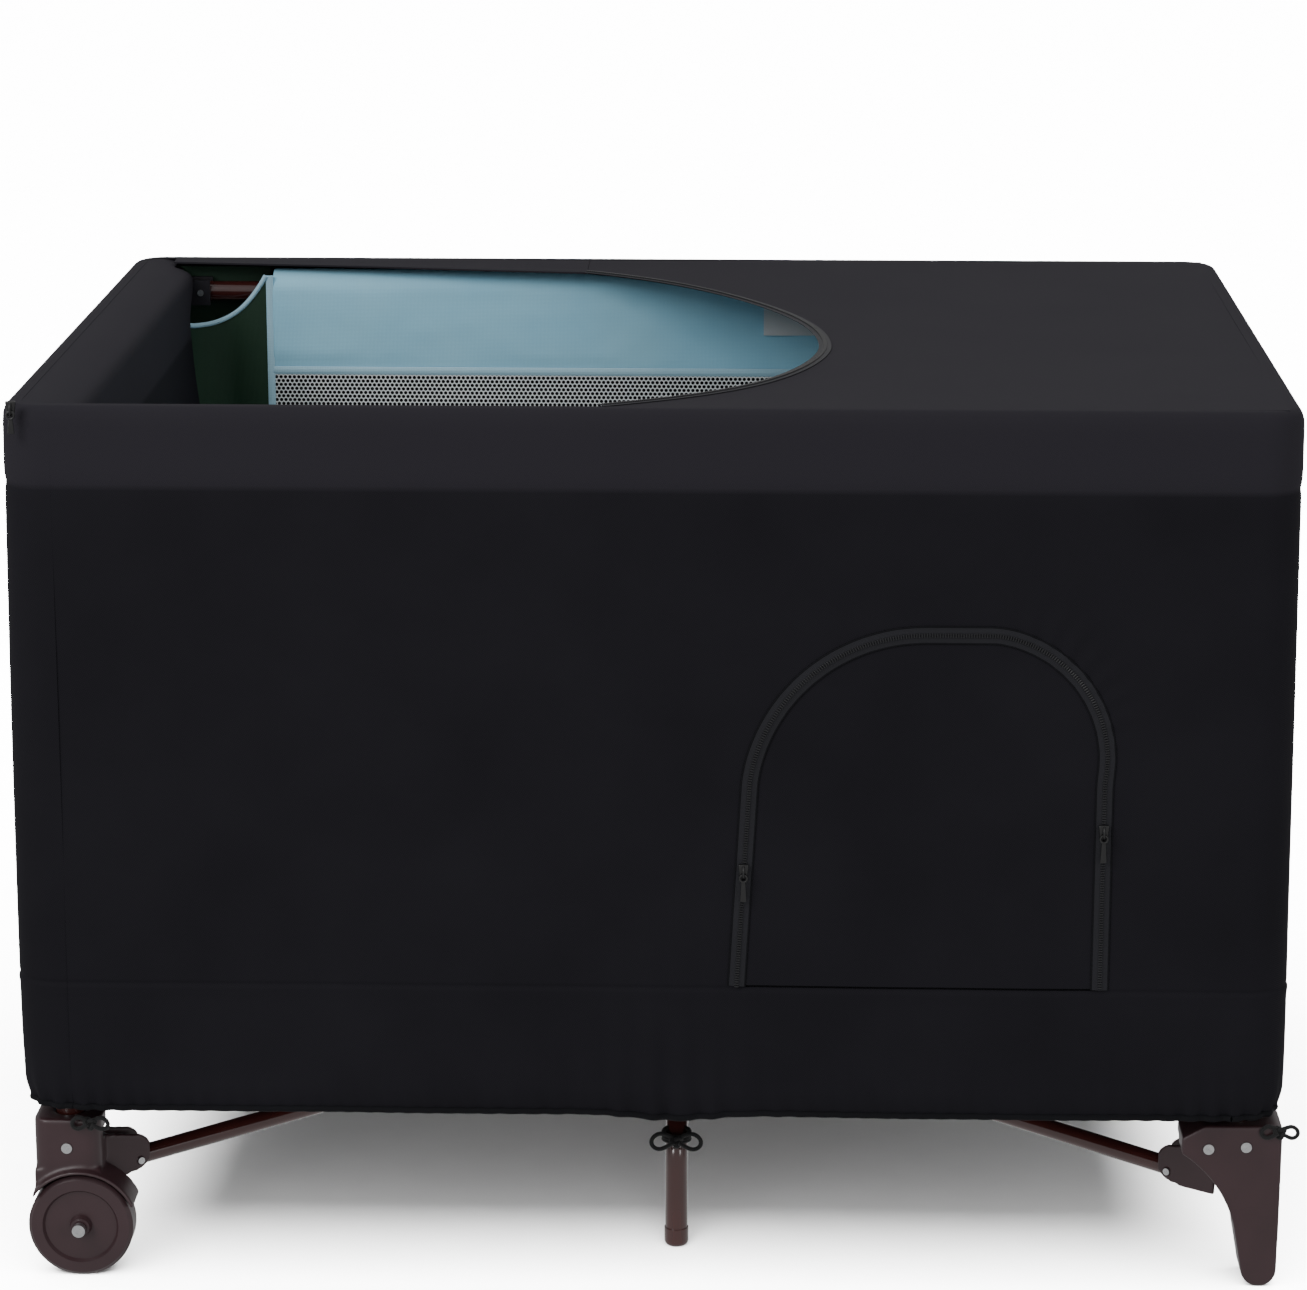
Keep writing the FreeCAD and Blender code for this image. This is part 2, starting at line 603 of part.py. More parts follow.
def door_prism(inset):
    """Solid through the front wall inside the door's zip line, drawn smaller by an inset."""
    left = DOOR_LEFT + inset
    spring_left = DOOR_LEFT + DOOR_LEAN + inset
    right = DOOR_RIGHT - inset
    top = DOOR_TOP - inset
    shoulder = inset * math.sqrt(0.5)
    low_left = V(left, 0, DOOR_BOTTOM + inset)
    low_right = V(right, 0, DOOR_BOTTOM + inset)
    edges = lines([V(right, 0, DOOR_SPRING_Z), low_right, low_left, V(spring_left, 0, DOOR_SPRING_Z)])
    edges.append(arc(V(spring_left, 0, DOOR_SPRING_Z), DOOR_SHOULDER_LEFT + V(shoulder, 0, -shoulder),
                     V(DOOR_CROWN_X0, 0, top)))
    edges += lines([V(DOOR_CROWN_X0, 0, top), V(DOOR_CROWN_X1, 0, top)])
    edges.append(arc(V(DOOR_CROWN_X1, 0, top), DOOR_SHOULDER_RIGHT + V(-shoulder, 0, -shoulder),
                     V(right, 0, DOOR_SPRING_Z)))
    face = Part.Face(Part.Wire(Part.__sortEdges__(edges)))
    return face.extrude(V(0, -FAR, 0))


def d_edge(inset):
    """Edge of the D-shaped top opening, from the back round to the front."""
    slant = inset * math.sqrt(0.5)
    start = D_BACK_START + V(0, -inset, 0)
    back = D_BACK_END + V(0, -inset, 0)
    tip = D_TIP + V(-inset, 0, 0)
    front = D_FRONT_END + V(-slant, slant, 0)
    return [Part.makeLine(start, back),
            arc(back, D_SIDE + V(-slant, -slant, 0), tip),
            arc(tip, D_FRONT_SIDE + V(-slant, slant, 0), front)]


FRONT_LIP = 12.0
TOP_Z0 = PEN_HEIGHT - COVER_T
LIP_LEFT_END = -468.0


def top_panel():
    """Fixed part of the top, right of the D-shaped opening."""
    x1 = OUT_X - COVER_T - PANEL_GAP
    y1 = OUT_Y - COVER_T - PANEL_GAP
    edge = d_edge(0)[1:]
    outline = edge + lines([D_FRONT_END, V(D_FRONT_END.x, -y1, 0), V(x1, -y1, 0), V(x1, y1, 0),
                            V(D_BACK_END.x, y1, 0), D_BACK_END])
    rounded = rounded_box(-x1, x1, -y1, y1, TOP_Z0, PEN_HEIGHT, COVER_CORNER_R - COVER_T)
    return slab(outline, TOP_Z0, PEN_HEIGHT).common(rounded)


def back_lip():
    """Strip of the top along the back rim, left of the top panel."""
    y1 = OUT_Y - PANEL_GAP
    stop = D_BACK_END.x - STRIP_GAP
    slope = (D_BACK_END.y - D_BACK_START.y) / (D_BACK_END.x - D_BACK_START.x)
    end = V(stop, D_BACK_END.y - STRIP_GAP * slope, 0)
    outline = lines([D_BACK_START, end, V(stop, y1, 0), V(D_BACK_START.x, y1, 0), D_BACK_START])
    return slab(outline, TOP_Z0, PEN_HEIGHT)


def make_cover():
    """Fitted cover: four walls, the fixed top, the D flap and the arched door."""
    shell = cover_shell()
    split = COVER_SPLIT_X
    front = shell.common(box(-split, split, -FAR, 0, 0, FAR))
    door_gap = door_prism(DOOR_ZIP_HALF)
    lip = box(-split, D_FRONT_END.x - STRIP_GAP, -OUT_Y + PANEL_GAP, -OUT_Y + FRONT_LIP, TOP_Z0, PEN_HEIGHT)
    add("cover_front", front.cut(door_gap).fuse(lip))
    add("cover_door", front.common(door_prism(DOOR_INSET)))
    add("cover_back", shell.common(box(-split, split, 0, FAR, 0, FAR)).fuse(back_lip()))
    end = shell.common(box(-FAR, -split - SEAM_GAP, -FAR, FAR, 0, FAR))
    left_lip = box(-OUT_X + PANEL_GAP, -split - SEAM_GAP, -OUT_Y + COVER_CORNER_R, OUT_Y - COVER_CORNER_R,
                   TOP_Z0, PEN_HEIGHT)
    add("cover_left", end.fuse(left_lip))
    add("cover_right", shell.common(box(split + SEAM_GAP, FAR, -FAR, FAR, 0, FAR)))
    add("cover_top", top_panel())


def flap_blank():
    """The D flap as it lies when zipped shut."""
    edge = d_edge(D_EDGE_GAP)
    back_start = edge[0].Vertexes[0].Point
    front_end = edge[-1].Vertexes[-1].Point
    slope = (D_BACK_END.y - D_BACK_START.y) / (D_BACK_END.x - D_BACK_START.x)
    notch_back = V(FLAP_NOTCH_X, back_start.y + slope * (FLAP_NOTCH_X - back_start.x), 0)
    full = lines([V(FLAP_NOTCH_X, FLAP_ROOT_Y, 0), notch_back, edge[0].Vertexes[1].Point]) + edge[1:]
    full += lines([front_end, V(FLAP_NOTCH_X, front_end.y, 0), V(FLAP_NOTCH_X, -FLAP_ROOT_Y, 0),
                   V(FLAP_HINGE_X, -FLAP_ROOT_Y, 0), V(FLAP_HINGE_X, FLAP_ROOT_Y, 0),
                   V(FLAP_NOTCH_X, FLAP_ROOT_Y, 0)])
    return slab(full, FLAP_Z - FLAP_T / 2, FLAP_Z + FLAP_T / 2)


FLAP_REST_Z = PAD_BOTTOM + PAD_T + 3.0
FLAP_REACH = D_TIP.x - D_EDGE_GAP - FLAP_HINGE_X
FLAP_FROM_VERTICAL = math.degrees(math.acos((FLAP_Z - FLAP_REST_Z) / FLAP_REACH))


def cover_flap():
    """The D flap hanging inside, its tip resting on the floor pad."""
    flap = flap_blank()
    flap.rotate(V(FLAP_HINGE_X, 0, FLAP_Z), V(0, 1, 0), 90 - FLAP_FROM_VERTICAL)
    return flap


# ---- zip sliders ------------------------------------------------------------------
SLIDER_W = 10.0
SLIDER_H = 14.0
SLIDER_T = 3.6
SLIDER_OFF = 1.0
TAB_W = 6.5
TAB_H = 30.0
TAB_T = 1.8
TAB_LIFT = 0.6
TAB_PAST = 3.0
LEFT_SLIDER_Z = 356.0
RIGHT_SLIDER_Z = 392.0
TOP_SLIDER_X = -498.0
TOP_SLIDER_Z = 731.0
TOP_SLIDER_DROP = 2.0


def wall_y(z):
    """Outer face of the front wall at a height."""
    return -OUT_Y - FLARE * (PEN_HEIGHT - z) / (PEN_HEIGHT - HEM_Z)


def zip_slider(x, z, y):
    """Slider with its pull tab hanging, standing just off the cloth."""
    front = y - SLIDER_OFF
    body = box(x - SLIDER_W / 2, x + SLIDER_W / 2, front - SLIDER_T, front, z, z + SLIDER_H)
    tab = box(x - TAB_W / 2, x + TAB_W / 2, front - SLIDER_T + TAB_LIFT, front - SLIDER_T + TAB_LIFT + TAB_T,
              z - TAB_H, z + TAB_PAST)
    return body.fuse(tab)


def make_sliders():
    """Two sliders on the door's zip and one on the top's zip."""
    lean = DOOR_LEAN / (DOOR_SPRING_Z - DOOR_BOTTOM)
    x_left = DOOR_LEFT + lean * (LEFT_SLIDER_Z - DOOR_BOTTOM)
    add("door_zip_slider_left", zip_slider(x_left, LEFT_SLIDER_Z, wall_y(LEFT_SLIDER_Z - TAB_H)))
    add("door_zip_slider_right", zip_slider(DOOR_RIGHT, RIGHT_SLIDER_Z, wall_y(RIGHT_SLIDER_Z - TAB_H)))
    add("top_zip_slider", zip_slider(TOP_SLIDER_X, TOP_SLIDER_Z - TOP_SLIDER_DROP, -OUT_Y))


# ---- build ------------------------------------------------------------------------
os.makedirs("parts", exist_ok=True)
pins = {corner: [] for corner in CORNERS}
make_rails(pins)
for corner, (sx, sy) in CORNERS.items():
    add("leg_tube_" + corner, at_corner(leg_tube(), sx, sy))
    add("top_corner_" + corner, at_corner(top_corner(), sx, sy))
    turn = math.degrees(math.atan2(sy * LEG_Y, sx * LEG_X))
    add("floor_tube_" + corner, turned(floor_tube(), turn))
    add("floor_pad_" + corner, at_corner(floor_pad(), sx, sy))
    corner_pin = cross_bar(CORNER_PIVOT_R, CORNER_PIVOT_Z, PIN_D, FLOOR_PIN_HALF)
    pins[corner].append(turned(corner_pin, turn))
    if sx < 0:
        add("caster_housing_" + corner, at_corner(caster_housing(), sx, sy))
        add("wheel_" + corner, at_corner(wheel(), sx, sy))
        own = rivets(CASTER_RIVETS) + [axle()]
    else:
        add("foot_bracket_" + corner, at_corner(foot_bracket(), sx, sy))
        own = rivets(FOOT_RIVETS)
    pins[corner] += [at_corner(piece, sx, sy) for piece in own]
    add("rivets_" + corner, Part.makeCompound(pins[corner]))
add("hub", hub())
add("hub_rivets", hub_rivets())
add("middle_leg_front", middle_leg())
add("middle_leg_back", turned(middle_leg(), 180))
make_liner()
make_cover()
add("cover_flap", cover_flap())
make_sliders()
for name, shape in NODES.items():
    if not shape.isValid():
        print("NOT VALID", name)
print(len(NODES), "nodes; flap hangs", round(FLAP_FROM_VERTICAL, 3), "degrees from the vertical")
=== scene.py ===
"""Looks of a folding playpen: cloth cover, zips, liner, padding and finishes round its frame."""
import logging
import math
from dataclasses import dataclass, field
from enum import Enum
from typing import Callable, ClassVar, Iterable, Sequence

import bpy
from mathutils import Matrix, Vector, noise


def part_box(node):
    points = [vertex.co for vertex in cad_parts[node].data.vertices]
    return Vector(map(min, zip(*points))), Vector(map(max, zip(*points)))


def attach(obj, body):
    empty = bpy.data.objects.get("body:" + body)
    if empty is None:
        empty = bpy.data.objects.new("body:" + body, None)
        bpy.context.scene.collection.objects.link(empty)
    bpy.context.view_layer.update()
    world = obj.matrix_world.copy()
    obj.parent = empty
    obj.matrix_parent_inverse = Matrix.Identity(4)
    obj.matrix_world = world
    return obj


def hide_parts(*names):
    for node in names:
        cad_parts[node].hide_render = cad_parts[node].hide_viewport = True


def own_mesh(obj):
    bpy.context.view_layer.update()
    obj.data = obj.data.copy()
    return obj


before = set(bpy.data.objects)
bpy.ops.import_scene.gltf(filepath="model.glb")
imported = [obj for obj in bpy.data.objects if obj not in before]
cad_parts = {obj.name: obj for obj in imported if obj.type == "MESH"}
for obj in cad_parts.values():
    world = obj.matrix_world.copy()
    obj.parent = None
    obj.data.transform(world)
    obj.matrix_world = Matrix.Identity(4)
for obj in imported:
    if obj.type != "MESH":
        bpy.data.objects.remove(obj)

logging.basicConfig(level=logging.INFO, format="%(name)s: %(message)s")
LOG = logging.getLogger("playpen")
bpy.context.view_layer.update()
Point = tuple[float, float, float]
Place = Callable[[float, float], Sequence[float]]


# ---- measures ---------------------------------------------------------------------
def mm(value: float) -> float:
    """Metres from millimetres."""
    return value / 1000.0


def node_centre(node: str) -> Vector:
    """Middle of a frame node's box."""
    low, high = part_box(node)
    return (low + high) / 2


@dataclass(frozen=True)
class Pen:
    """Driving sizes of the pen, in metres, read from the frame."""

    leg_x: float = -node_centre("leg_tube_front_left").x
    leg_y: float = -node_centre("leg_tube_front_left").y
    half_x: float = mm(521)
    half_y: float = mm(378)
    rim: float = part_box("cover_front")[1].z
    hem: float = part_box("cover_front")[0].z
    flare: float = mm(6)
    corner: float = mm(32)
    seam_x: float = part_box("cover_front")[1].x
    pad_top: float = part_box("floor_pad_front_left")[1].z
    folded: float = 0.26


PEN = Pen()


class Carrier(Enum):
    """Body that a soft piece rides on, with an axis and a point of a line that the script doesn't use."""

    FRONT = ("leg_front_left", (1, 0, 0), (-PEN.leg_x, 0, 0))
    BACK = ("leg_back_left", (1, 0, 0), (-PEN.leg_x, 0, 0))
    LEFT = ("leg_front_left", (0, 1, 0), (0, -PEN.leg_y, 0))
    RIGHT = ("leg_front_right", (0, 1, 0), (0, -PEN.leg_y, 0))
    TOP = ("cover_top", (0, 1, 0), (0, -PEN.leg_y, 0))
    FLAP = ("cover_flap", (0, 1, 0), (0, -PEN.leg_y, 0))
    DOOR = ("cover_door", (1, 0, 0), (-PEN.leg_x, 0, 0))
    SLIDER_LEFT = ("door_zip_slider_left", (1, 0, 0), (-PEN.leg_x, 0, 0))
    SLIDER_RIGHT = ("door_zip_slider_right", (1, 0, 0), (-PEN.leg_x, 0, 0))
    SLIDER_TOP = ("top_zip_slider", (1, 0, 0), (-PEN.leg_x, 0, 0))


def carry(piece: bpy.types.Object, carrier: Carrier, slot: str, *nodes: str) -> bpy.types.Object:
    """Make a piece ride on its carrier's body, with its own mesh, and stand for frame nodes, which it hides.

    Args:
        piece: The finished piece.
        carrier: What it rides on.
        slot: Not used.
        nodes: Frame nodes that it replaces.

    Returns:
        The same piece.
    """
    body, axis, anchor = carrier.value
    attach(piece, body)
    if nodes:
        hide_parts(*nodes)
    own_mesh(piece)
    LOG.info("%s rides on %s", piece.name, body)
    return piece


def ride_rigid(piece: bpy.types.Object, body: str, slot: str, *nodes: str) -> bpy.types.Object:
    """Make a piece ride on a body without gathering."""
    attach(piece, body)
    if nodes:
        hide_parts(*nodes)
    LOG.info("%s rides on %s", piece.name, body)
    return piece


# ---- mesh tools -------------------------------------------------------------------
def activate(obj: bpy.types.Object) -> None:
    """Leave only this object selected, and active."""
    bpy.ops.object.select_all(action="DESELECT")
    obj.select_set(True)
    bpy.context.view_layer.objects.active = obj


def modify(obj: bpy.types.Object, kind: str, **settings: object) -> bpy.types.Object:
    """Add a modifier and apply it.

    Args:
        obj: Mesh object.
        kind: Modifier type.
        settings: Its settings.

    Returns:
        The same object.
    """
    activate(obj)
    modifier = obj.modifiers.new(kind.lower(), kind)
    for key, value in settings.items():
        setattr(modifier, key, value)
    bpy.ops.object.modifier_apply(modifier=modifier.name)
    return obj


def smooth(obj: bpy.types.Object, degrees: float = 40.0) -> bpy.types.Object:
    """Shade smooth across edges flatter than an angle."""
    activate(obj)
    bpy.ops.object.shade_smooth_by_angle(angle=math.radians(degrees))
    return obj


def outward(obj: bpy.types.Object) -> bpy.types.Object:
    """Merge doubles and turn the faces of a closed piece outwards."""
    activate(obj)
    bpy.ops.object.mode_set(mode="EDIT")
    bpy.ops.mesh.select_all(action="SELECT")
    bpy.ops.mesh.remove_doubles(threshold=mm(0.02))
    bpy.ops.mesh.normals_make_consistent(inside=False)
    bpy.ops.object.mode_set(mode="OBJECT")
    return obj


def cloth_grid(
    name: str, cells: tuple[int, int], size: tuple[float, float], place: Place, thickness: float,
    rows: Sequence[float] | None = None,
) -> bpy.types.Object:
    """A sheet of cloth from a grid, each point put in place, then given its thickness.

    Args:
        name: Piece name.
        cells: Cells across and up.
        size: Cut size in metres, across and up, which its UV map keeps.
        place: Position of a point from its share across and up, outside to the right hand.
        thickness: Cloth thickness in metres, added on the inside; 0 leaves a bare sheet.
        rows: Heights of the rows as shares from 0 to 1, where they aren't evenly spaced.

    Returns:
        The sheet.
    """
    bpy.ops.object.select_all(action="DESELECT")
    bpy.ops.mesh.primitive_grid_add(x_subdivisions=cells[0], y_subdivisions=cells[1], size=1)
    obj = bpy.context.active_object
    obj.name = name

    def up(share: float) -> float:
        """Share of the height of the row that an even share stands for."""
        return rows[round(share * cells[1])] if rows else share

    for vertex in obj.data.vertices:
        vertex.co = place(vertex.co.x + 0.5, up(vertex.co.y + 0.5))
    for loop in obj.data.uv_layers.active.data:
        loop.uv = (loop.uv[0] * size[0], up(loop.uv[1]) * size[1])
    if thickness:
        modify(obj, "SOLIDIFY", thickness=thickness, offset=-1, use_even_offset=True)
    return smooth(obj, 60.0)


def prism(outline: Sequence[Point], depth: Point) -> bpy.types.Object:
    """Closed cutter from an outline, pushed along a vector.

    Args:
        outline: Corner points in order, in one plane.
        depth: Vector to extrude along.

    Returns:
        The cutter, to be given to cut().
    """
    bpy.ops.object.select_all(action="DESELECT")
    bpy.ops.mesh.primitive_circle_add(vertices=len(outline), fill_type="NGON")
    obj = bpy.context.active_object
    for vertex, point in zip(obj.data.vertices, outline):
        vertex.co = point
    bpy.ops.object.mode_set(mode="EDIT")
    bpy.ops.mesh.select_all(action="SELECT")
    bpy.ops.mesh.extrude_region_move(TRANSFORM_OT_translate={"value": depth})
    bpy.ops.object.mode_set(mode="OBJECT")
    return outward(obj)


def cut(obj: bpy.types.Object, cutter: bpy.types.Object, operation: str) -> bpy.types.Object:
    """Boolean a piece with a cutter, and remove the cutter.

    Args:
        obj: Piece to cut.
        cutter: Closed mesh.
        operation: DIFFERENCE or INTERSECT.

    Returns:
        The cut piece.
    """
    modify(obj, "BOOLEAN", object=cutter, operation=operation, solver="EXACT")
    bpy.data.objects.remove(cutter)
    return obj


def twin(obj: bpy.types.Object, name: str) -> bpy.types.Object:
    """A copy with its own mesh."""
    copy = obj.copy()
    copy.data = obj.data.copy()
    copy.name = name
    bpy.context.scene.collection.objects.link(copy)
    return copy


def mirrored(obj: bpy.types.Object, name: str, signs: Point) -> bpy.types.Object:
    """A copy mirrored through the pen's middle, its faces turned back outwards.

    Args:
        obj: Piece to copy.
        name: Name of the copy.
        signs: Factor for each axis, 1 or -1.

    Returns:
        The copy.
    """
    copy = twin(obj, name)
    copy.data.transform(Matrix.Diagonal((*signs, 1)))
    if signs[0] * signs[1] * signs[2] < 0:
        copy.data.flip_normals()
    return copy


def cord_line(
    name: str, points: Iterable[Sequence[float]], radius: float, closed: bool = False,
    keep_curve: bool = False
) -> bpy.types.Object:
    """A round cord or piping along a smooth line.

    Args:
        name: Piece name.
        points: Control points in metres.
        radius: Cord radius.
        closed: Whether the line is a ring.
        keep_curve: Leave it a curve instead of a mesh.

    Returns:
        The cord.
    """
    curve = bpy.data.curves.new(name, "CURVE")
    curve.dimensions = "3D"
    curve.bevel_depth = radius
    curve.bevel_resolution = 3
    curve.resolution_u = 6
    curve.use_fill_caps = True
    spline = curve.splines.new("NURBS")
    route = [tuple(p) for p in points]
    spline.points.add(len(route) - 1)
    for control, point in zip(spline.points, route):
        control.co = (*point, 1)
    spline.order_u = 3
    spline.use_cyclic_u = closed
    spline.use_endpoint_u = not closed
    obj = bpy.data.objects.new(name, curve)
    bpy.context.scene.collection.objects.link(obj)
    if keep_curve:
        return obj
    activate(obj)
    bpy.ops.object.convert(target="MESH")
    return smooth(outward(bpy.context.active_object), 60.0)


def repeated(name: str, unit: bpy.types.Object, places: Sequence[Matrix]) -> bpy.types.Object:
    """One mesh of a small shape repeated at many places, the shape itself removed.

    Args:
        name: Piece name.
        unit: Small shape at the origin.
        places: Where each copy goes.

    Returns:
        The joined copies.
    """
    base = [v.co.copy() for v in unit.data.vertices]
    faces = [tuple(p.vertices) for p in unit.data.polygons]
    points: list[Vector] = []
    polygons: list[tuple[int, ...]] = []
    for place in places:
        start = len(points)
        points.extend(place @ co for co in base)
        polygons.extend(tuple(i + start for i in face) for face in faces)
    mesh = bpy.data.meshes.new(name)
    mesh.from_pydata(points, [], polygons)
    obj = bpy.data.objects.new(name, mesh)
    bpy.context.scene.collection.objects.link(obj)
    bpy.data.objects.remove(unit)
    return obj


def joined(name: str, pieces: Sequence[bpy.types.Object]) -> bpy.types.Object:
    """Join meshes into one piece."""
    activate(pieces[0])
    for piece in pieces:
        piece.select_set(True)
    bpy.ops.object.join()
    pieces[0].name = name
    return pieces[0]


def arc_points(a: Vector, b: Vector, c: Vector, count: int) -> list[Vector]:
    """Points on the circle arc from a through b to c, ends included."""
    ab, ac = b - a, c - a
    normal = ab.cross(ac)
    centre = a + (normal.cross(ab) * ac.length_squared + ac.cross(normal) * ab.length_squared) / (
        2 * normal.length_squared
    )
    turn = (a - centre).angle(c - centre)
    if (b - centre).angle(a - centre) > turn or (b - centre).angle(c - centre) > turn:
        turn = 2 * math.pi - turn
    spin = [Matrix.Rotation(turn * i / count, 3, normal) for i in range(count + 1)]
    return [centre + m @ (a - centre) for m in spin]


class Route:
    """A line through points that can be walked by distance."""

    def __init__(self, points: Sequence[Vector]) -> None:
        """Measure the line."""
        self.points = [Vector(p) for p in points]
        self.marks = [0.0]
        for p, q in zip(self.points, self.points[1:]):
            self.marks.append(self.marks[-1] + (q - p).length)
        self.length = self.marks[-1]

    def at(self, distance: float) -> tuple[Vector, Vector]:
        """Point and heading at a distance.

        Args:
            distance: Metres from the start.

        Returns:
            The point and the unit heading there.
        """
        distance = min(max(distance, 0.0), self.length)
        index = next((i for i, m in enumerate(self.marks[1:]) if m >= distance), len(self.points) - 2)
        p, q = self.points[index], self.points[index + 1]
        share = (distance - self.marks[index]) / max(self.marks[index + 1] - self.marks[index], 1e-9)
        before = self.points[max(index - 1, 0)]
        after = self.points[min(index + 2, len(self.points) - 1)]
        heading = (q - before).lerp(after - p, share).normalized()
        return p.lerp(q, share), heading


# ---- finishes ---------------------------------------------------------------------
def linear(code: str) -> tuple[float, float, float, float]:
    """Linear colour from an sRGB hex code."""
    shares = [int(code[i : i + 2], 16) / 255 for i in (1, 3, 5)]
    return (*[s / 12.92 if s <= 0.04045 else ((s + 0.055) / 1.055) ** 2.4 for s in shares], 1.0)


def add_node(
    tree: bpy.types.NodeTree, kind: str, settings: dict[str, object], links: dict[str, bpy.types.NodeSocket]
) -> bpy.types.Node:
    """Add a node with its settings and links.

    Args:
        tree: Node tree.
        kind: Node type name.
        settings: Values by property, or by input socket name.
        links: Sockets that feed its inputs, by input name or number.

    Returns:
        The node.
    """
    node = tree.nodes.new(kind)
    for key, value in settings.items():
        if hasattr(node, key):
            setattr(node, key, value)
        else:
            node.inputs[int(key) if key.isdigit() else key].default_value = value
    for key, socket in links.items():
        tree.links.new(socket, node.inputs[int(key) if key.isdigit() else key])
    return node


WAVE_PERIOD = 0.31416       # period of a band wave at scale 1, in its own units


@dataclass(frozen=True)
class Finish:
    """A named material built from the Principled shader."""

    name: str
    dark: str
    light: str
    rough: float

    def shader(self, tree: bpy.types.NodeTree) -> bpy.types.Node:
        """The tree's Principled node."""
        return tree.nodes["Principled BSDF"]

    def blotch(self, tree: bpy.types.NodeTree, scale: float, detail: float = 4.0) -> bpy.types.NodeSocket:
        """Soft noise on object coordinates.

        Args:
            tree: Node tree.
            scale: Features per metre.
            detail: Octaves.

        Returns:
            The noise factor.
        """
        where = add_node(tree, "ShaderNodeTexCoord", {}, {})
        made = add_node(tree, "ShaderNodeTexNoise", {"Scale": scale, "Detail": detail},
                        {"Vector": where.outputs["Object"]})
        return made.outputs["Fac"]

    def tint(self, tree: bpy.types.NodeTree, factor: bpy.types.NodeSocket) -> None:
        """Colour between dark and light by a factor."""
        mix = add_node(tree, "ShaderNodeMix", {"data_type": "RGBA", "6": linear(self.dark),
                                               "7": linear(self.light)},
                       {"0": factor})
        tree.links.new(mix.outputs[2], self.shader(tree).inputs["Base Color"])

    def bump(self, tree: bpy.types.NodeTree, height: bpy.types.NodeSocket, depth: float,
             strength: float) -> None:
        """Bump from a height socket, depth in metres."""
        made = add_node(tree, "ShaderNodeBump", {"Distance": depth, "Strength": strength}, {"Height": height})
        tree.links.new(made.outputs["Normal"], self.shader(tree).inputs["Normal"])

    def roughen(self, tree: bpy.types.NodeTree, factor: bpy.types.NodeSocket, spread: float) -> None:
        """Roughness that varies about its middle value by a factor."""
        made = add_node(tree, "ShaderNodeMapRange",
                        {"To Min": self.rough - spread, "To Max": self.rough + spread}, {"Value": factor})
        tree.links.new(made.outputs["Result"], self.shader(tree).inputs["Roughness"])

    def dress(self, tree: bpy.types.NodeTree) -> None:
        """Add this finish's own nodes."""
        self.tint(tree, self.blotch(tree, 30.0))

    def build(self) -> bpy.types.Material:
        """Make the material once and hand it out again later.

        Returns:
            The material.
        """
        found = bpy.data.materials.get(self.name)
        if found:
            return found
        material = bpy.data.materials.new(self.name)
        material.use_nodes = True
        self.shader(material.node_tree).inputs["Roughness"].default_value = self.rough
        self.dress(material.node_tree)
        return material


@dataclass(frozen=True)
class Cloth(Finish):
    """Woven or knitted cloth: two crossing sets of threads, fuzz that catches light, soft blotches."""

    pitch: float = 1.4      # thread spacing in mm, drawn coarser than real so that it shows
    skew: float = 0.0       # 1 turns the threads into the slanted loops of a knit
    depth: float = 0.25
    sheen: float = 0.25
    crease: float = 0.0     # height in mm of the soft folds
    gloss: float = 0.25

    def threads(self, tree: bpy.types.NodeTree) -> bpy.types.NodeSocket:
        """Height of the weave from the cut cloth's own measure.

        Args:
            tree: Node tree.

        Returns:
            The height factor.
        """
        where = add_node(tree, "ShaderNodeTexCoord", {}, {})
        turned = add_node(tree, "ShaderNodeMapping", {"Rotation": (0.0, 0.0, math.radians(30.0) * self.skew)},
                          {"Vector": where.outputs["UV"]})
        scale = WAVE_PERIOD / mm(self.pitch)
        warp = add_node(tree, "ShaderNodeTexWave", {"bands_direction": "X", "Scale": scale,
                                                    "Distortion": 0.6},
                        {"Vector": turned.outputs["Vector"]})
        weft = add_node(tree, "ShaderNodeTexWave", {"bands_direction": "Y", "Scale": scale,
                                                    "Distortion": 0.6},
                        {"Vector": turned.outputs["Vector"]})
        both = add_node(tree, "ShaderNodeMath", {"operation": "MULTIPLY"},
                        {"0": warp.outputs["Fac"], "1": weft.outputs["Fac"]})
        return both.outputs["Value"]

    def dress(self, tree: bpy.types.NodeTree) -> None:
        """Threads, blotches, folds and fuzz."""
        weave = self.threads(tree)
        patches = self.blotch(tree, 9.0, 6.0)
        amount = add_node(tree, "ShaderNodeMath", {"operation": "MULTIPLY_ADD", "1": 0.45},
                          {"0": weave, "2": patches})
        self.tint(tree, amount.outputs["Value"])
        self.roughen(tree, patches, 0.06)
        shader = self.shader(tree)
        shader.inputs["Sheen Weight"].default_value = self.sheen
        shader.inputs["Sheen Roughness"].default_value = 0.45
        shader.inputs["Sheen Tint"].default_value = linear(self.light)
        shader.inputs["Specular IOR Level"].default_value = self.gloss
        fine = add_node(tree, "ShaderNodeBump", {"Distance": mm(self.depth), "Strength": 0.5},
                        {"Height": weave})
        folds = add_node(tree, "ShaderNodeBump", {"Distance": mm(max(self.crease, 0.05)), "Strength": 0.6},
                         {"Height": self.blotch(tree, 28.0, 3.0), "Normal": fine.outputs["Normal"]})
        tree.links.new(folds.outputs["Normal"], shader.inputs["Normal"])


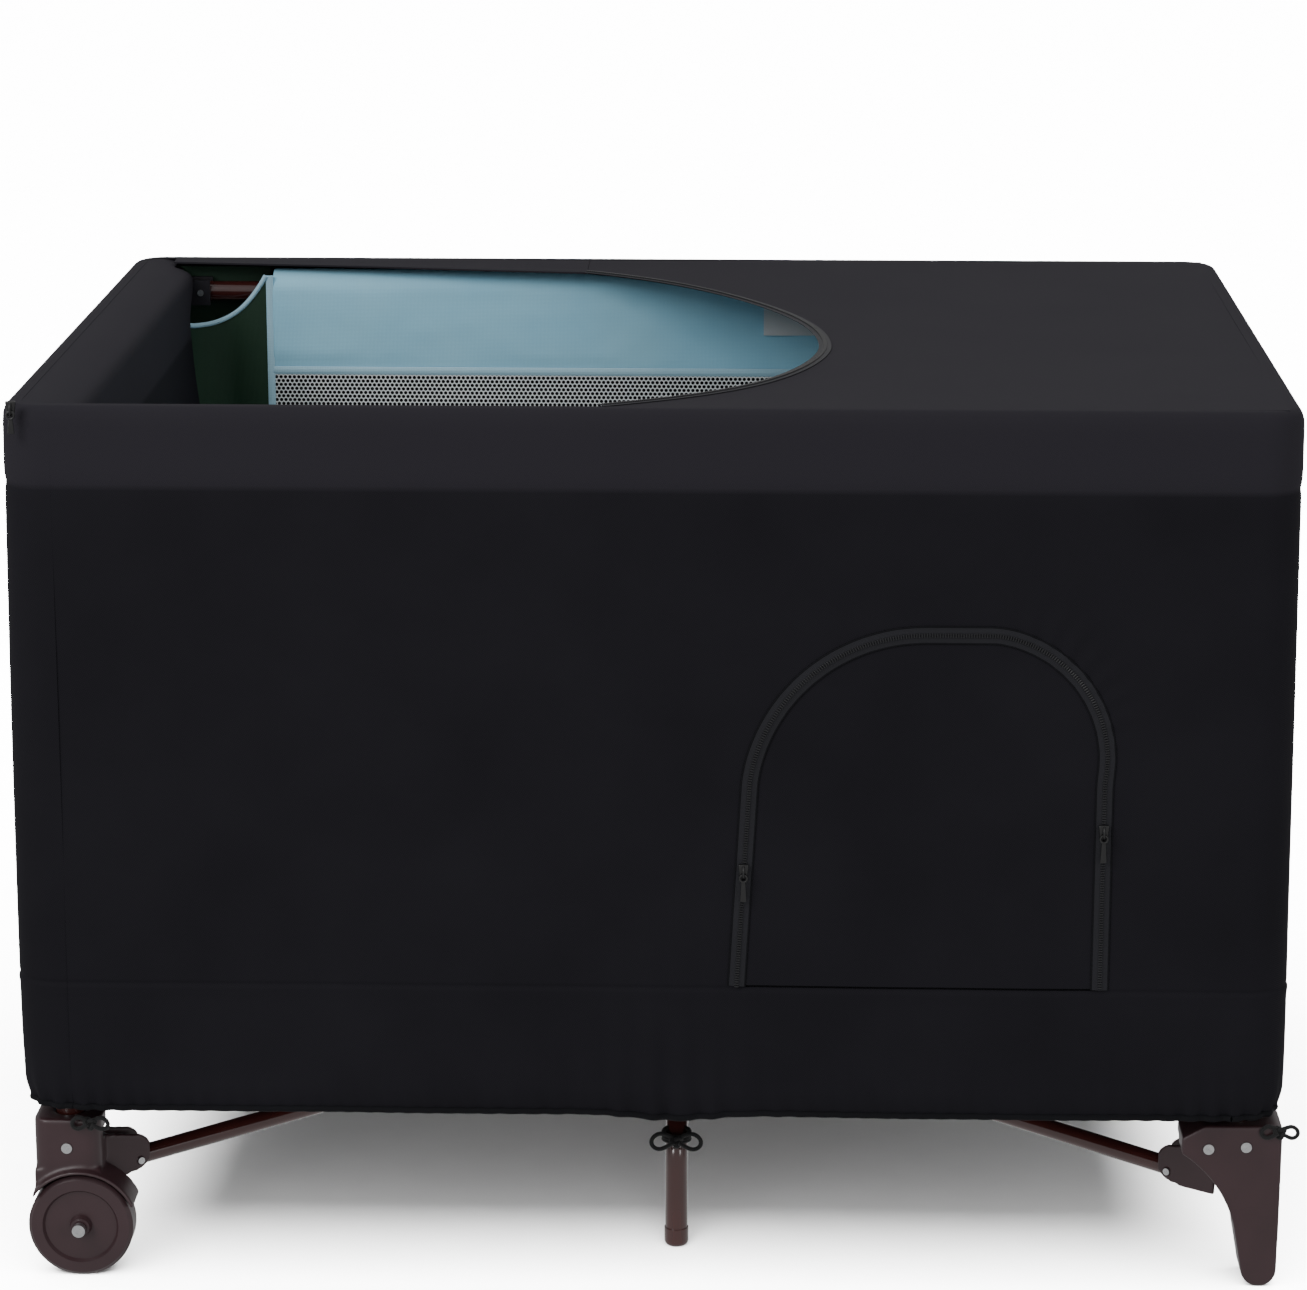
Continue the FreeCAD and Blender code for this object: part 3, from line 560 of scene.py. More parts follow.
@dataclass(frozen=True)
class PaintedBandKnit(Cloth):
    """Black knit with a paler colour painted on everything above the rim band's crease: painted light for the
    band and the top, which turn up towards the lamps.
    """

    band_z: float = 0.678
    # Colour painted above the crease as light, not a colour of the cloth.
    painted_band_light: str = "#323036"

    def tint(self, tree: bpy.types.NodeTree, factor: bpy.types.NodeSocket) -> None:
        """The knit's own colour below the band's crease, and above it a paler colour that is painted light, a
        painted highlight for cloth facing up.
        """
        where = add_node(tree, "ShaderNodeTexCoord", {}, {})
        split = add_node(tree, "ShaderNodeSeparateXYZ", {}, {"0": where.outputs["Object"]})
        # Mask of the painted light: 0 below the band's crease, rising to 0.75 just above it.
        painted_band_light = add_node(tree, "ShaderNodeMapRange",
                        {"From Min": self.band_z - 0.002, "From Max": self.band_z + 0.003, "To Max": 0.75},
                        {"Value": split.outputs["Z"]})
        slack = add_node(tree, "ShaderNodeMix",
                         {"data_type": "RGBA", "6": linear(self.dark), "7": linear(self.light)},
                         {"0": factor})
        both = add_node(tree, "ShaderNodeMix", {"data_type": "RGBA", "7": linear(self.painted_band_light)},
                        {"0": painted_band_light.outputs["Result"], "6": slack.outputs[2]})
        tree.links.new(both.outputs[2], self.shader(tree).inputs["Base Color"])


@dataclass(frozen=True)
class Braid(Finish):
    """Braided cord: two slanting sets of strands."""

    pitch: float = 1.3

    def dress(self, tree: bpy.types.NodeTree) -> None:
        """Strands crossing on object coordinates."""
        where = add_node(tree, "ShaderNodeTexCoord", {}, {})
        sets = []
        for degrees in (35.0, -35.0):
            turned = add_node(tree, "ShaderNodeMapping",
                              {"Rotation": (math.radians(degrees), math.radians(degrees), 0.0)},
                              {"Vector": where.outputs["Object"]})
            wave = add_node(tree, "ShaderNodeTexWave",
                            {"bands_direction": "Z", "Scale": WAVE_PERIOD / mm(self.pitch),
                             "Distortion": 0.5},
                            {"Vector": turned.outputs["Vector"]})
            sets.append(wave.outputs["Fac"])
        both = add_node(tree, "ShaderNodeMath", {"operation": "MULTIPLY"}, {"0": sets[0], "1": sets[1]})
        self.tint(tree, both.outputs["Value"])
        self.bump(tree, both.outputs["Value"], mm(0.35), 0.7)
        self.shader(tree).inputs["Sheen Weight"].default_value = 0.1


@dataclass(frozen=True)
class Net(Finish):
    """Warp-knitted polyester net: rounded holes in staggered rows."""

    pitch: float = 4.3      # hole spacing in mm
    edge: float = 1.74      # wave sum at a hole's edge: 0 is its middle, 2 where holes touch

    def dress(self, tree: bpy.types.NodeTree) -> None:
        """Three crossing waves are lowest where the holes are; the rest is thread."""
        where = add_node(tree, "ShaderNodeTexCoord", {}, {})
        total = None
        height = mm(self.pitch) * math.sqrt(3) / 2
        for degrees in (0.0, 60.0, 120.0):
            turned = add_node(tree, "ShaderNodeMapping", {"Rotation": (0.0, 0.0, math.radians(degrees))},
                              {"Vector": where.outputs["UV"]})
            wave = add_node(tree, "ShaderNodeTexWave", {"bands_direction": "Y",
                                                        "Scale": WAVE_PERIOD / height},
                            {"Vector": turned.outputs["Vector"]})
            if total is None:
                total = wave.outputs["Fac"]
            else:
                total = add_node(tree, "ShaderNodeMath", {"operation": "ADD"},
                                 {"0": total, "1": wave.outputs["Fac"]}).outputs["Value"]
        thread = add_node(tree, "ShaderNodeMath", {"operation": "GREATER_THAN", "1": self.edge}, {"0": total})
        self.tint(tree, self.blotch(tree, 40.0))
        self.bump(tree, total, mm(0.6), 0.8)
        shader = self.shader(tree)
        shader.inputs["Sheen Weight"].default_value = 0.2
        tree.links.new(thread.outputs["Value"], shader.inputs["Alpha"])


@dataclass(frozen=True)
class Moulded(Finish):
    """Injection-moulded plastic with a fine spark-eroded grain."""

    grain: float = 0.9      # mm
    depth: float = 0.05
    ior: float = 1.5

    def dress(self, tree: bpy.types.NodeTree) -> None:
        """Grain, faint flow marks and handling shine."""
        self.tint(tree, self.blotch(tree, 22.0, 5.0))
        self.roughen(tree, self.blotch(tree, 60.0, 5.0), 0.07)
        self.bump(tree, self.blotch(tree, 1.0 / mm(self.grain), 2.0), mm(self.depth), 0.5)
        self.shader(tree).inputs["IOR"].default_value = self.ior


@dataclass(frozen=True)
class Enamel(Finish):
    """Stoved enamel on steel tube: glossy, with slight orange peel."""

    coat: float = 0.6

    def dress(self, tree: bpy.types.NodeTree) -> None:
        """Orange peel, colour depth and a clear gloss."""
        self.tint(tree, self.blotch(tree, 14.0, 3.0))
        self.roughen(tree, self.blotch(tree, 90.0, 4.0), 0.05)
        self.bump(tree, self.blotch(tree, 420.0, 1.0), mm(0.03), 0.4)
        shader = self.shader(tree)
        shader.inputs["Coat Weight"].default_value = self.coat
        shader.inputs["Coat Roughness"].default_value = 0.08


@dataclass(frozen=True)
class Plated(Finish):
    """Zinc-plated steel with tumbling marks."""

    def dress(self, tree: bpy.types.NodeTree) -> None:
        """Bright metal with fine scratches."""
        self.tint(tree, self.blotch(tree, 300.0, 5.0))
        self.roughen(tree, self.blotch(tree, 700.0, 5.0), 0.1)
        self.bump(tree, self.blotch(tree, 1500.0, 2.0), mm(0.02), 0.4)
        self.shader(tree).inputs["Metallic"].default_value = 1.0


# Above the rim band's crease this knit is painted paler: painted light where the cloth turns up towards the
# lamps.
KNIT_BLACK = PaintedBandKnit("black_stretch_knit", "#18171b", "#232227", 0.85, pitch=1.5, skew=1.0, depth=0.22,
                           sheen=0.03, crease=0.35, gloss=0.08)
KNIT_TRIM = Cloth("black_bound_edge", "#0f0f11", "#1b1b1f", 0.7, pitch=1.2, depth=0.3, sheen=0.04, gloss=0.1)
ZIP_TAPE = Cloth("nylon_zip_tape", "#19191d", "#29292e", 0.6, pitch=1.1, depth=0.35, sheen=0.06, gloss=0.2)
POLY_BLUE = Cloth("blue_plain_weave", "#8ed2f2", "#b4ebff", 0.7, pitch=1.3, depth=0.25, sheen=0.2, crease=0.8)
BIND_BLUE = Cloth("blue_ribbed_binding", "#9dcfe6", "#c0e6f5", 0.6, pitch=1.6, depth=0.4, sheen=0.2)
POLY_GREEN = Cloth("dark_green_plain_weave", "#16281d", "#2d4937", 0.55, pitch=1.2, depth=0.25, sheen=0.15,
                   crease=1.2)
PAD_CLOTH = Cloth("blue_quilted_weave", "#5d8fa5", "#80aec0", 0.75, pitch=1.4, depth=0.3, sheen=0.2,
                  crease=0.6)
LABEL_SATIN = Cloth("white_satin_label", "#cfd6da", "#eef1f3", 0.45, pitch=0.8, depth=0.15, sheen=0.1)
BRAID = Braid("black_braided_cord", "#060607", "#141416", 0.8)
NET_WHITE = Net("white_polyester_net", "#dfe6e8", "#ffffff", 0.6)
COIL_NYLON = Moulded("black_nylon_coil", "#0c0c0e", "#1f1f23", 0.35, grain=0.6, depth=0.02)
PP_BROWN = Moulded("brown_moulded_polypropylene", "#2b1a1d", "#3c282c", 0.38, grain=0.8, depth=0.05)
PP_WHEEL = Moulded("brown_moulded_wheel", "#2b1c1f", "#3e2a2e", 0.36, grain=0.9, depth=0.04)
PP_BLACK = Moulded("black_moulded_nylon", "#17161a", "#2a282d", 0.3, grain=0.7, depth=0.04)
PP_GREY = Moulded("grey_moulded_button", "#4a4b50", "#66676d", 0.4, grain=0.7, depth=0.04)
ENAMEL_BROWN = Enamel("brown_stoved_enamel", "#2a1412", "#4a211e", 0.18)
ENAMEL_BLACK = Enamel("black_enamelled_zinc", "#09090a", "#161618", 0.42, coat=0.15)
ZINC = Plated("zinc_plated_steel", "#a9abad", "#dedede", 0.3)
NON_WOVEN = Cloth("black_non_woven_backing", "#161517", "#242326", 0.85, pitch=2.0, depth=0.2, sheen=0.05,
                  gloss=0.1)
BACKDROP = Moulded("matt_white_floor", "#f4f4f4", "#fbfbfb", 0.8, grain=4.0, depth=0.02)


def dress(obj: bpy.types.Object, finish: Finish) -> bpy.types.Object:
    """Give a piece one finish."""
    obj.data.materials.clear()
    obj.data.materials.append(finish.build())
    return obj


# ---- cover ------------------------------------------------------------------------
def ease(value: float) -> float:
    """Smooth step from 0 to 1."""
    value = min(max(value, 0.0), 1.0)
    return value * value * (3 - 2 * value)


def bell(distance: float, width: float) -> float:
    """1 at no distance, fading over a width."""
    return math.exp(-((distance / width) ** 2))


@dataclass
class CoverShape:
    """Shape of the cover's walls: a rounded rectangle that follows a profile from hem to rim."""

    edge_r: float = mm(9)
    lip: float = mm(15)
    band_z: float = mm(678)
    seam_z: float = mm(262)
    curl: float = mm(22)
    tuck: float = mm(3.5)
    pinch_x: float = mm(20)
    thickness: float = mm(1.6)
    profile: Route = field(init=False)

    def __post_init__(self) -> None:
        """Draw the profile as (outward, 0, up) points from the hem to the inner end of the lip."""
        line = [Vector((self.lean(PEN.hem) - self.tuck, 0, PEN.hem))]
        line += [Vector((self.lean(PEN.hem + self.curl * t) - self.tuck * (1 - ease(t)), 0,
                         PEN.hem + self.curl * t))
                 for t in (0.15, 0.3, 0.45, 0.6, 0.8, 1.0)]
        top = PEN.rim - self.edge_r
        line += [Vector((self.lean(z), 0, z)) for z in (0.25, 0.40, 0.60, top)]
        line += [Vector((-self.edge_r * (1 - math.cos(a)), 0, top + self.edge_r * math.sin(a)))
                 for a in (math.radians(d) for d in (15, 30, 45, 60, 75, 90))]
        line.append(Vector((-self.lip, 0, PEN.rim)))
        self.profile = Route(line)

    def rows(self) -> list[float]:
        """Distances up the profile of a wall's rows, closest at the seam, the crease and the rim."""
        marks, at = [0.0], 0.0
        while at < self.profile.length:
            z = self.profile.at(at)[0].z
            near = min(abs(z - self.seam_z), abs(z - self.band_z))
            fine = near < mm(7) or z > PEN.rim - self.edge_r
            at += mm(1.2) if fine else mm(3.2) if z < PEN.hem + mm(45) else mm(6)
            marks.append(min(at, self.profile.length))
        return marks

    def lean(self, z: float) -> float:
        """How far the wall stands out at a height, past its size at the rim."""
        return PEN.flare * min(max((PEN.rim - z) / (PEN.rim - PEN.hem), 0.0), 1.0)

    def rim_point(self, s: float) -> tuple[Vector, Vector]:
        """Point and outward normal of the rounded rectangle.

        Args:
            s: Distance along it in metres, from the middle of the front, to the right.

        Returns:
            The point on the floor plan and its normal.
        """
        r = PEN.corner
        run_x, run_y, bend = PEN.half_x - r, PEN.half_y - r, r * math.pi / 2
        legs = [(run_x, 0), (bend, 1), (2 * run_y, 0), (bend, 1), (2 * run_x, 0), (bend, 1), (2 * run_y, 0),
                (bend, 1),
                (run_x, 0)]
        s %= sum(length for length, _ in legs)
        point, heading = Vector((0, -PEN.half_y, 0)), 0.0
        for length, bends in legs:
            share = min(s, length)
            if bends:
                turn = share / r
                point = point + r * Vector((math.sin(heading + turn) - math.sin(heading),
                                            math.cos(heading) - math.cos(heading + turn), 0))
                heading += turn
            else:
                point = point + share * Vector((math.cos(heading), math.sin(heading), 0))
            s -= share
            if s <= 0:
                break
        return point, Vector((math.sin(heading), -math.cos(heading), 0))

    def wrinkle(self, s: float, z: float, x: float) -> float:
        """Outward offset of slack, gathers and pulls at a point of the wall.

        Args:
            s: Distance round the pen.
            z: Height.
            x: Position along the pen, for the pull at the middle legs.

        Returns:
            The offset in metres.
        """
        slack = noise.noise(Vector((s * 4.0, z * 3.0, 1.7))) * mm(1.6) * ease((PEN.rim - z) / 0.12)
        drape = noise.noise(Vector((s * 13.0 + z * 2.0, z * 2.2, 4.1))) * mm(0.9) * ease((0.55 - z) / 0.4)
        low = math.exp(-(z - PEN.hem) / mm(22))
        near_leg = bell(abs(x) - PEN.leg_x, mm(70))
        gather = math.sin(s * 2 * math.pi / mm(17) + 3.0 * noise.noise(Vector((s * 9.0, 0, 0))))
        gather *= low * (mm(0.8) + mm(2.0) * near_leg)
        reach = bell(x - self.pinch_x, mm(70)) * math.exp(-(z - PEN.hem) / mm(60))
        corner = -mm(5) * bell(abs(x) - PEN.half_x, mm(34)) * math.exp(-(z - PEN.hem) / mm(26))
        pull = corner - mm(6) * reach + mm(2.2) * reach * math.sin((x - self.pinch_x) * 2 * math.pi / mm(26))
        seam = -mm(0.9) * bell(z - self.seam_z, mm(1.8)) + mm(0.7) * bell(z - self.seam_z + mm(4), mm(3))
        band = mm(0.8) * ease((z - self.band_z) / mm(14)) * ease((PEN.rim - z) / mm(20))
        crease = -mm(0.7) * bell(z - self.band_z, mm(4))
        pucker = self.door_pucker(x, z) if s < PEN.half_x or s > 3.0 else 0.0
        return slack + drape + gather + pull + seam + band + crease + pucker

    def door_pucker(self, x: float, z: float) -> float:
        """Small puckers that the zip's stitching draws beside the right shoulder of the door.

        Args:
            x: Position along the pen.
            z: Height.

        Returns:
            The offset in metres.
        """
        dx, dz = x - mm(281), z - mm(470)
        ring = math.hypot(dx, dz * 0.95)
        angle = math.atan2(dz, dx)
        side = ease((math.degrees(angle) + 10) / 30) * ease((100 - math.degrees(angle)) / 40)
        return mm(0.9) * bell(ring - mm(99), mm(16)) * math.sin(angle * 34) * side

    def skin(self, s: float, along: float) -> Vector:
        """Point on the outside of the wall.

        Args:
            s: Distance round the pen from the middle of the front.
            along: Distance up the profile from the hem.

        Returns:
            The point.
        """
        base, normal = self.rim_point(s)
        spot, _ = self.profile.at(along)
        out = spot.x
        z = spot.z
        if z < PEN.rim - mm(1):
            out += self.wrinkle(s, z, base.x)
        dip = bell(base.x - self.pinch_x, mm(46)) * math.exp(-(z - PEN.hem) / mm(40)) * mm(7)
        z -= min(dip, z - PEN.hem + mm(6)) if abs(normal.y) > 0.7 else 0.0
        return base + normal * out + Vector((0, 0, z))

    def front_y(self, x: float, z: float) -> float:
        """Y of the front wall's outside at a place.

        Args:
            x: Position along the pen.
            z: Height.

        Returns:
            The Y coordinate.
        """
        return -PEN.half_y - self.lean(z) - self.wrinkle(x, z, x)


@dataclass
class Door:
    """Arched zipped door in the front wall."""

    left: float = mm(71)
    right: float = mm(368)
    lean: float = mm(10)
    bottom: float = mm(262)
    spring: float = mm(440)
    crown: float = mm(562)
    crown_left: float = mm(225)
    crown_right: float = mm(281)

    def outline(self, inset: float) -> list[Vector]:
        """Arch from the left foot to the right foot, drawn smaller by an inset.

        Args:
            inset: Distance inside the zip's line.

        Returns:
            Points in the XZ plane.
        """
        slant = inset * math.sqrt(0.5)
        foot_left = Vector((self.left + inset, 0, self.bottom + inset))
        foot_right = Vector((self.right - inset, 0, self.bottom + inset))
        spring_left = Vector((self.left + self.lean + inset, 0, self.spring))
        spring_right = Vector((self.right - inset, 0, self.spring))
        top_left = Vector((self.crown_left, 0, self.crown - inset))
        top_right = Vector((self.crown_right, 0, self.crown - inset))
        shoulder_left = Vector((mm(121) + slant, 0, mm(520) - slant))
        shoulder_right = Vector((mm(345) - slant, 0, mm(526) - slant))
        return [foot_left, *arc_points(spring_left, shoulder_left, top_left, 16),
                *arc_points(top_right, shoulder_right, spring_right, 14), foot_right]

    def cutter(self, inset: float) -> bpy.types.Object:
        """Cutter through the front wall inside the arch."""
        start = -PEN.half_y - mm(60)
        points = [(p.x, start, p.z) for p in self.outline(inset)]
        return prism(points, (0, mm(100), 0))


@dataclass
class TopOpening:
    """D-shaped opening in the top, with the flap that closes it."""

    back_start: Vector = field(default_factory=lambda: Vector((mm(-468), mm(338), 0)))
    back_end: Vector = field(default_factory=lambda: Vector((mm(-80), mm(303), 0)))
    side: Vector = field(default_factory=lambda: Vector((mm(85), mm(150), 0)))
    tip: Vector = field(default_factory=lambda: Vector((mm(142), mm(-76), 0)))
    front_side: Vector = field(default_factory=lambda: Vector((mm(100), mm(-217), 0)))
    front_end: Vector = field(default_factory=lambda: Vector((mm(-40), mm(-360), 0)))

    def edge(self, inset: float) -> list[Vector]:
        """Edge from the back round the tip to the front.

        Args:
            inset: Distance inside the opening.

        Returns:
            Points at zero height.
        """
        slant = inset * math.sqrt(0.5)
        back = self.back_end + Vector((0, -inset, 0))
        tip = self.tip + Vector((-inset, 0, 0))
        front = self.front_end + Vector((-slant, slant, 0))
        line = [self.back_start + Vector((0, -inset, 0))]
        line += arc_points(back, self.side + Vector((-slant, -slant, 0)), tip, 22)
        line += arc_points(tip, self.front_side + Vector((-slant, slant, 0)), front, 18)[1:]
        return line


class Cover:
    """The fitted black cover: four walls, top, flap, door, zips and hem."""

    def __init__(self) -> None:
        """Set out the shapes that its pieces share."""
        self.shape = CoverShape()
        self.door = Door()
        self.opening = TopOpening()
        self.lap = mm(1.5)
        self.root_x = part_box("cover_flap")[0].x - mm(12)

    def quarter_lengths(self) -> tuple[float, float]:
        """Distance round the pen of the seams beside the front, and once all round."""
        r = PEN.corner
        round_all = 4 * (PEN.half_x - r) + 4 * (PEN.half_y - r) + 2 * math.pi * r
        return PEN.seam_x, round_all

    def wall(self, name: str, start: float, end: float, cells: int) -> bpy.types.Object:
        """A stretch of wall.

        Args:
            name: Piece name.
            start: Distance round the pen where it starts.
            end: Distance where it ends.
            cells: Cells along it.

        Returns:
            The wall.
        """
        height = self.shape.profile.length
        rows = [a / height for a in self.shape.rows()]

        def place(u: float, v: float) -> Vector:
            """Point of the wall."""
            return self.shape.skin(start + (end - start) * u, height * v)

        return cloth_grid(name, (cells, len(rows) - 1), (end - start, height), place, self.shape.thickness,
                          rows)

    def make_walls(self) -> None:
        """Front with its door, back and both ends."""
        seam, round_all = self.quarter_lengths()
        half = round_all / 2
        front = self.wall("cover_front_wall", -seam, seam, 210)
        door = twin(front, "cover_arched_door")
        cut(front, self.door.cutter(mm(1.0)), "DIFFERENCE")
        cut(door, self.door.cutter(mm(3.0)), "INTERSECT")
        right = self.wall("cover_right_end", seam, half - seam, 170)
        back = self.wall("cover_back_wall", half - seam, half + seam, 190)
        left = self.wall("cover_left_end", half + seam, round_all - seam, 170)
        for piece, carrier, node, width in (
            (front, Carrier.FRONT, "cover_front", 2 * seam),
            (right, Carrier.RIGHT, "cover_right", half - 2 * seam),
            (back, Carrier.BACK, "cover_back", 2 * seam),
            (left, Carrier.LEFT, "cover_left", half - 2 * seam),
        ):
            dress(smooth(piece, 60.0), KNIT_BLACK)
            carry(piece, carrier, "cover_cloth", node)
        dress(smooth(door, 60.0), KNIT_BLACK)
        carry(door, Carrier.DOOR, "cover_cloth", "cover_door")

    def top_z(self, x: float, y: float) -> float:
        """Height of the top's outside, sagging a little between the rims."""
        inside = (1 - (x / PEN.half_x) ** 2) * (1 - (y / PEN.half_y) ** 2)
        ripple = noise.noise(Vector((x * 5.0, y * 6.0, 9.3))) * mm(1.3) * min(1.0, 4 * inside)
        return PEN.rim - mm(7) * inside + ripple

    def top_blank(self, name: str) -> bpy.types.Object:
        """Sheet over the whole top, inside the lips of the walls."""
        half_x = PEN.half_x - self.shape.lip + self.lap
        half_y = PEN.half_y - self.shape.lip + self.lap

        def place(u: float, v: float) -> Vector:
            """Point of the top."""
            x, y = half_x * (2 * u - 1), half_y * (2 * v - 1)
            return Vector((x, y, self.top_z(x, y) + mm(0.2)))

        return cloth_grid(name, (150, 110), (2 * half_x, 2 * half_y), place, self.shape.thickness)

    def region(self, outline: Sequence[Vector]) -> bpy.types.Object:
        """Cutter over a part of the top."""
        low = PEN.rim - mm(40)
        return prism([(p.x, p.y, low) for p in outline], (0, 0, mm(60)))

    def make_top(self) -> None:
        """Fixed top right of the opening, and the strips along the back and over the left rail."""
        far = 1.0
        edge = self.opening.edge(0)[1:]
        split_back, split_front = self.opening.back_end.x, self.opening.front_end.x
        top = self.top_blank("cover_top_panel")
        cut(top, self.region([*edge, Vector((split_front, -far, 0)), Vector((far, -far, 0)),
                              Vector((far, far, 0)),
                              Vector((split_back, far, 0))]), "INTERSECT")
        dress(smooth(top, 50.0), KNIT_BLACK)
        carry(top, Carrier.TOP, "cover_cloth", "cover_top")
        start = self.opening.back_start
        gap = mm(0.4)
        slope = (self.opening.back_end.y - start.y) / (split_back - start.x)
        strip = self.top_blank("cover_back_strip")
        cut(strip, self.region([Vector((-PEN.seam_x, start.y - slope * (PEN.seam_x + start.x), 0)),
                                Vector((split_back - gap, self.opening.back_end.y, 0)),
                                Vector((split_back - gap, far, 0)), Vector((-PEN.seam_x, far, 0))]),
            "INTERSECT")
        dress(smooth(strip, 50.0), KNIT_BLACK)
        carry(strip, Carrier.BACK, "cover_cloth")
        low_x, low_y = -PEN.half_x + self.shape.lip - self.lap, -PEN.half_y + self.shape.lip - self.lap
        width = self.root_x - low_x

        def place(u: float, v: float) -> Vector:
            """Point of the strip over the left rail."""
            x, y = low_x + width * u, low_y * (1 - 2 * v)
            return Vector((x, y, self.left_z(x)))

        rail = cloth_grid("cover_left_strip", (12, 120), (width, -2 * low_y), place, self.shape.thickness)
        dress(smooth(rail, 50.0), KNIT_BLACK)
        carry(rail, Carrier.LEFT, "cover_cloth")

    def left_z(self, x: float) -> float:
        """Height of the cloth over the left rail, which falls a little towards the inside."""
        return PEN.rim - mm(0.3) - mm(9) * (max(x + PEN.half_x - self.shape.lip, 0.0) / mm(40)) ** 2

    def make_flap(self) -> None:
        """Flap folded over the left rail and hanging inside, its tip on the floor pad."""
        low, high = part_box("cover_flap")
        hinge_x = low.x
        over = hinge_x - self.root_x
        reach = self.opening.tip.x - mm(4) - hinge_x
        roll, slant, fall_share, start = mm(10), 0.04, 0.972, math.radians(23.7)
        line = self.opening.edge(mm(4))
        slope = (self.opening.back_end.y - self.opening.back_start.y) / (
            self.opening.back_end.x - self.opening.back_start.x)
        turn = math.pi / 2 - math.atan(slant) - start
        depth = (reach - roll * turn) * fall_share
        across = roll * (math.sin(start + turn) - math.sin(start))
        curve = (high.x - hinge_x - across - slant * depth) / depth ** 2

        def edges(d: float) -> tuple[float, float]:
            """Y of the front and back edges of the flap, laid flat, at a distance from its hinge."""
            x = hinge_x + d
            back = self.opening.back_start.y - mm(4) + slope * (x - self.opening.back_start.x)
            if x > line[1].x:
                back = self.side_y(line, x, True)
            front = mm(-361)
            if x > line[-1].x:
                front = self.side_y(line, x, False)
            return front, back

        def place(u: float, v: float) -> Vector:
            """Point of the flap: over the rail, then down inside with its sides drawn in."""
            d = (reach + over) * u - over
            front, back = edges(max(d, 0.0))
            y = front + (back - front) * (1 - v)
            if d < 0:
                return Vector((hinge_x + d, y, self.left_z(hinge_x + d)))
            bent = min(d / roll, turn)
            fall = max(d - roll * turn, 0.0) * fall_share
            x = hinge_x + roll * (math.sin(start + bent) - math.sin(start)) + slant * fall + curve * fall ** 2
            z = self.left_z(hinge_x) - roll * (math.cos(start) - math.cos(start + bent)) - fall
            loose = ease(fall / 0.16) * ease((reach - d) / 0.1)
            x += noise.noise(Vector((y * 3.2, d * 2.6, 2.2))) * mm(8) * loose
            x += mm(3.5) * math.sin(y * 17 + d * 5) * loose
            y *= 1 - 0.11 * ease((fall + mm(3)) / mm(38))
            return Vector((x, y, max(z, PEN.pad_top + mm(5))))

        flap = cloth_grid("cover_d_flap", (150, 110), (reach + over, mm(698)), place, mm(-1.6))
        outward(flap)
        dress(smooth(flap, 60.0), KNIT_BLACK)
        carry(flap, Carrier.FLAP, "cover_cloth", "cover_flap")

    def side_y(self, line: Sequence[Vector], x: float, back: bool) -> float:
        """Y of the opening's edge at an x, on its back or its front half."""
        tip = max(range(len(line)), key=lambda i: line[i].x)
        part = line[: tip + 1] if back else line[tip:]
        for p, q in zip(part, part[1:]):
            if min(p.x, q.x) <= x <= max(p.x, q.x) and p.x != q.x:
                return p.y + (q.y - p.y) * (x - p.x) / (q.x - p.x)
        return line[tip].y

    def tape(
        self, name: str, route: Route, side: Callable[[Vector, Vector], Vector],
        lift: Callable[[Vector], Vector], width: float,
    ) -> bpy.types.Object:
        """Ribbon of zip tape along a route.

        Args:
            name: Piece name.
            route: Middle line.
            side: Sideways direction from a point and heading.
            lift: Point on the cloth's outside under a point of the tape.
            width: Tape width.

        Returns:
            The tape.
        """

        def place(u: float, v: float) -> Vector:
            """Point of the tape, raised along its middle over the teeth."""
            point, heading = route.at(route.length * u)
            across = (v - 0.5) * width
            return lift(point + side(point, heading) * across, bell(across, mm(3.2)))

        return cloth_grid(name, (int(route.length / mm(5)), 10), (route.length, width), place, 0)

    def teeth(self, name: str, route: Route, out: Callable[[Vector], Vector],
              normal: Vector) -> bpy.types.Object:
        """Coil teeth along a route.

        Args:
            name: Piece name.
            route: Middle line.
            out: Point just over the tape under a point of the route.
            normal: Direction off the cloth.

        Returns:
            The teeth, one mesh.
        """
        bpy.ops.object.select_all(action="DESELECT")
        bpy.ops.mesh.primitive_cube_add(size=1)
        unit = bpy.context.active_object
        unit.data.transform(Matrix.Diagonal((mm(1.3), mm(3.6), mm(1.1), 1)))
        modify(unit, "BEVEL", width=mm(0.35), segments=1)
        places = []
        step = mm(2.1)
        for i in range(int(route.length / step)):
            point, heading = route.at(i * step)
            across = normal.cross(heading)
            basis = Matrix((heading, across, normal)).transposed().to_4x4()
            places.append(Matrix.Translation(out(point)) @ basis)
        return repeated(name, unit, places)

    def make_door_zip(self) -> None:
        """Zip round the arch, with a stitched hem line on each side of the tape."""
        line = self.door.outline(0)
        line[0] = Vector((self.door.left, 0, self.door.bottom + mm(2)))
        line[-1] = Vector((self.door.right, 0, self.door.bottom + mm(2)))
        dense = Route(line)
        steps = [dense.at(dense.length * i / 180)[0] for i in range(181)]
        route = Route(steps)
        normal = Vector((0, -1, 0))

        def side(point: Vector, heading: Vector) -> Vector:
            """Sideways in the wall, so that the tape's face looks out."""
            return normal.cross(heading)

        def lift(point: Vector, crown: float) -> Vector:
            """On the wall, higher along the teeth."""
            y = self.shape.front_y(point.x, point.z)
            return Vector((point.x, y - mm(0.5) - mm(0.7) * crown, point.z))

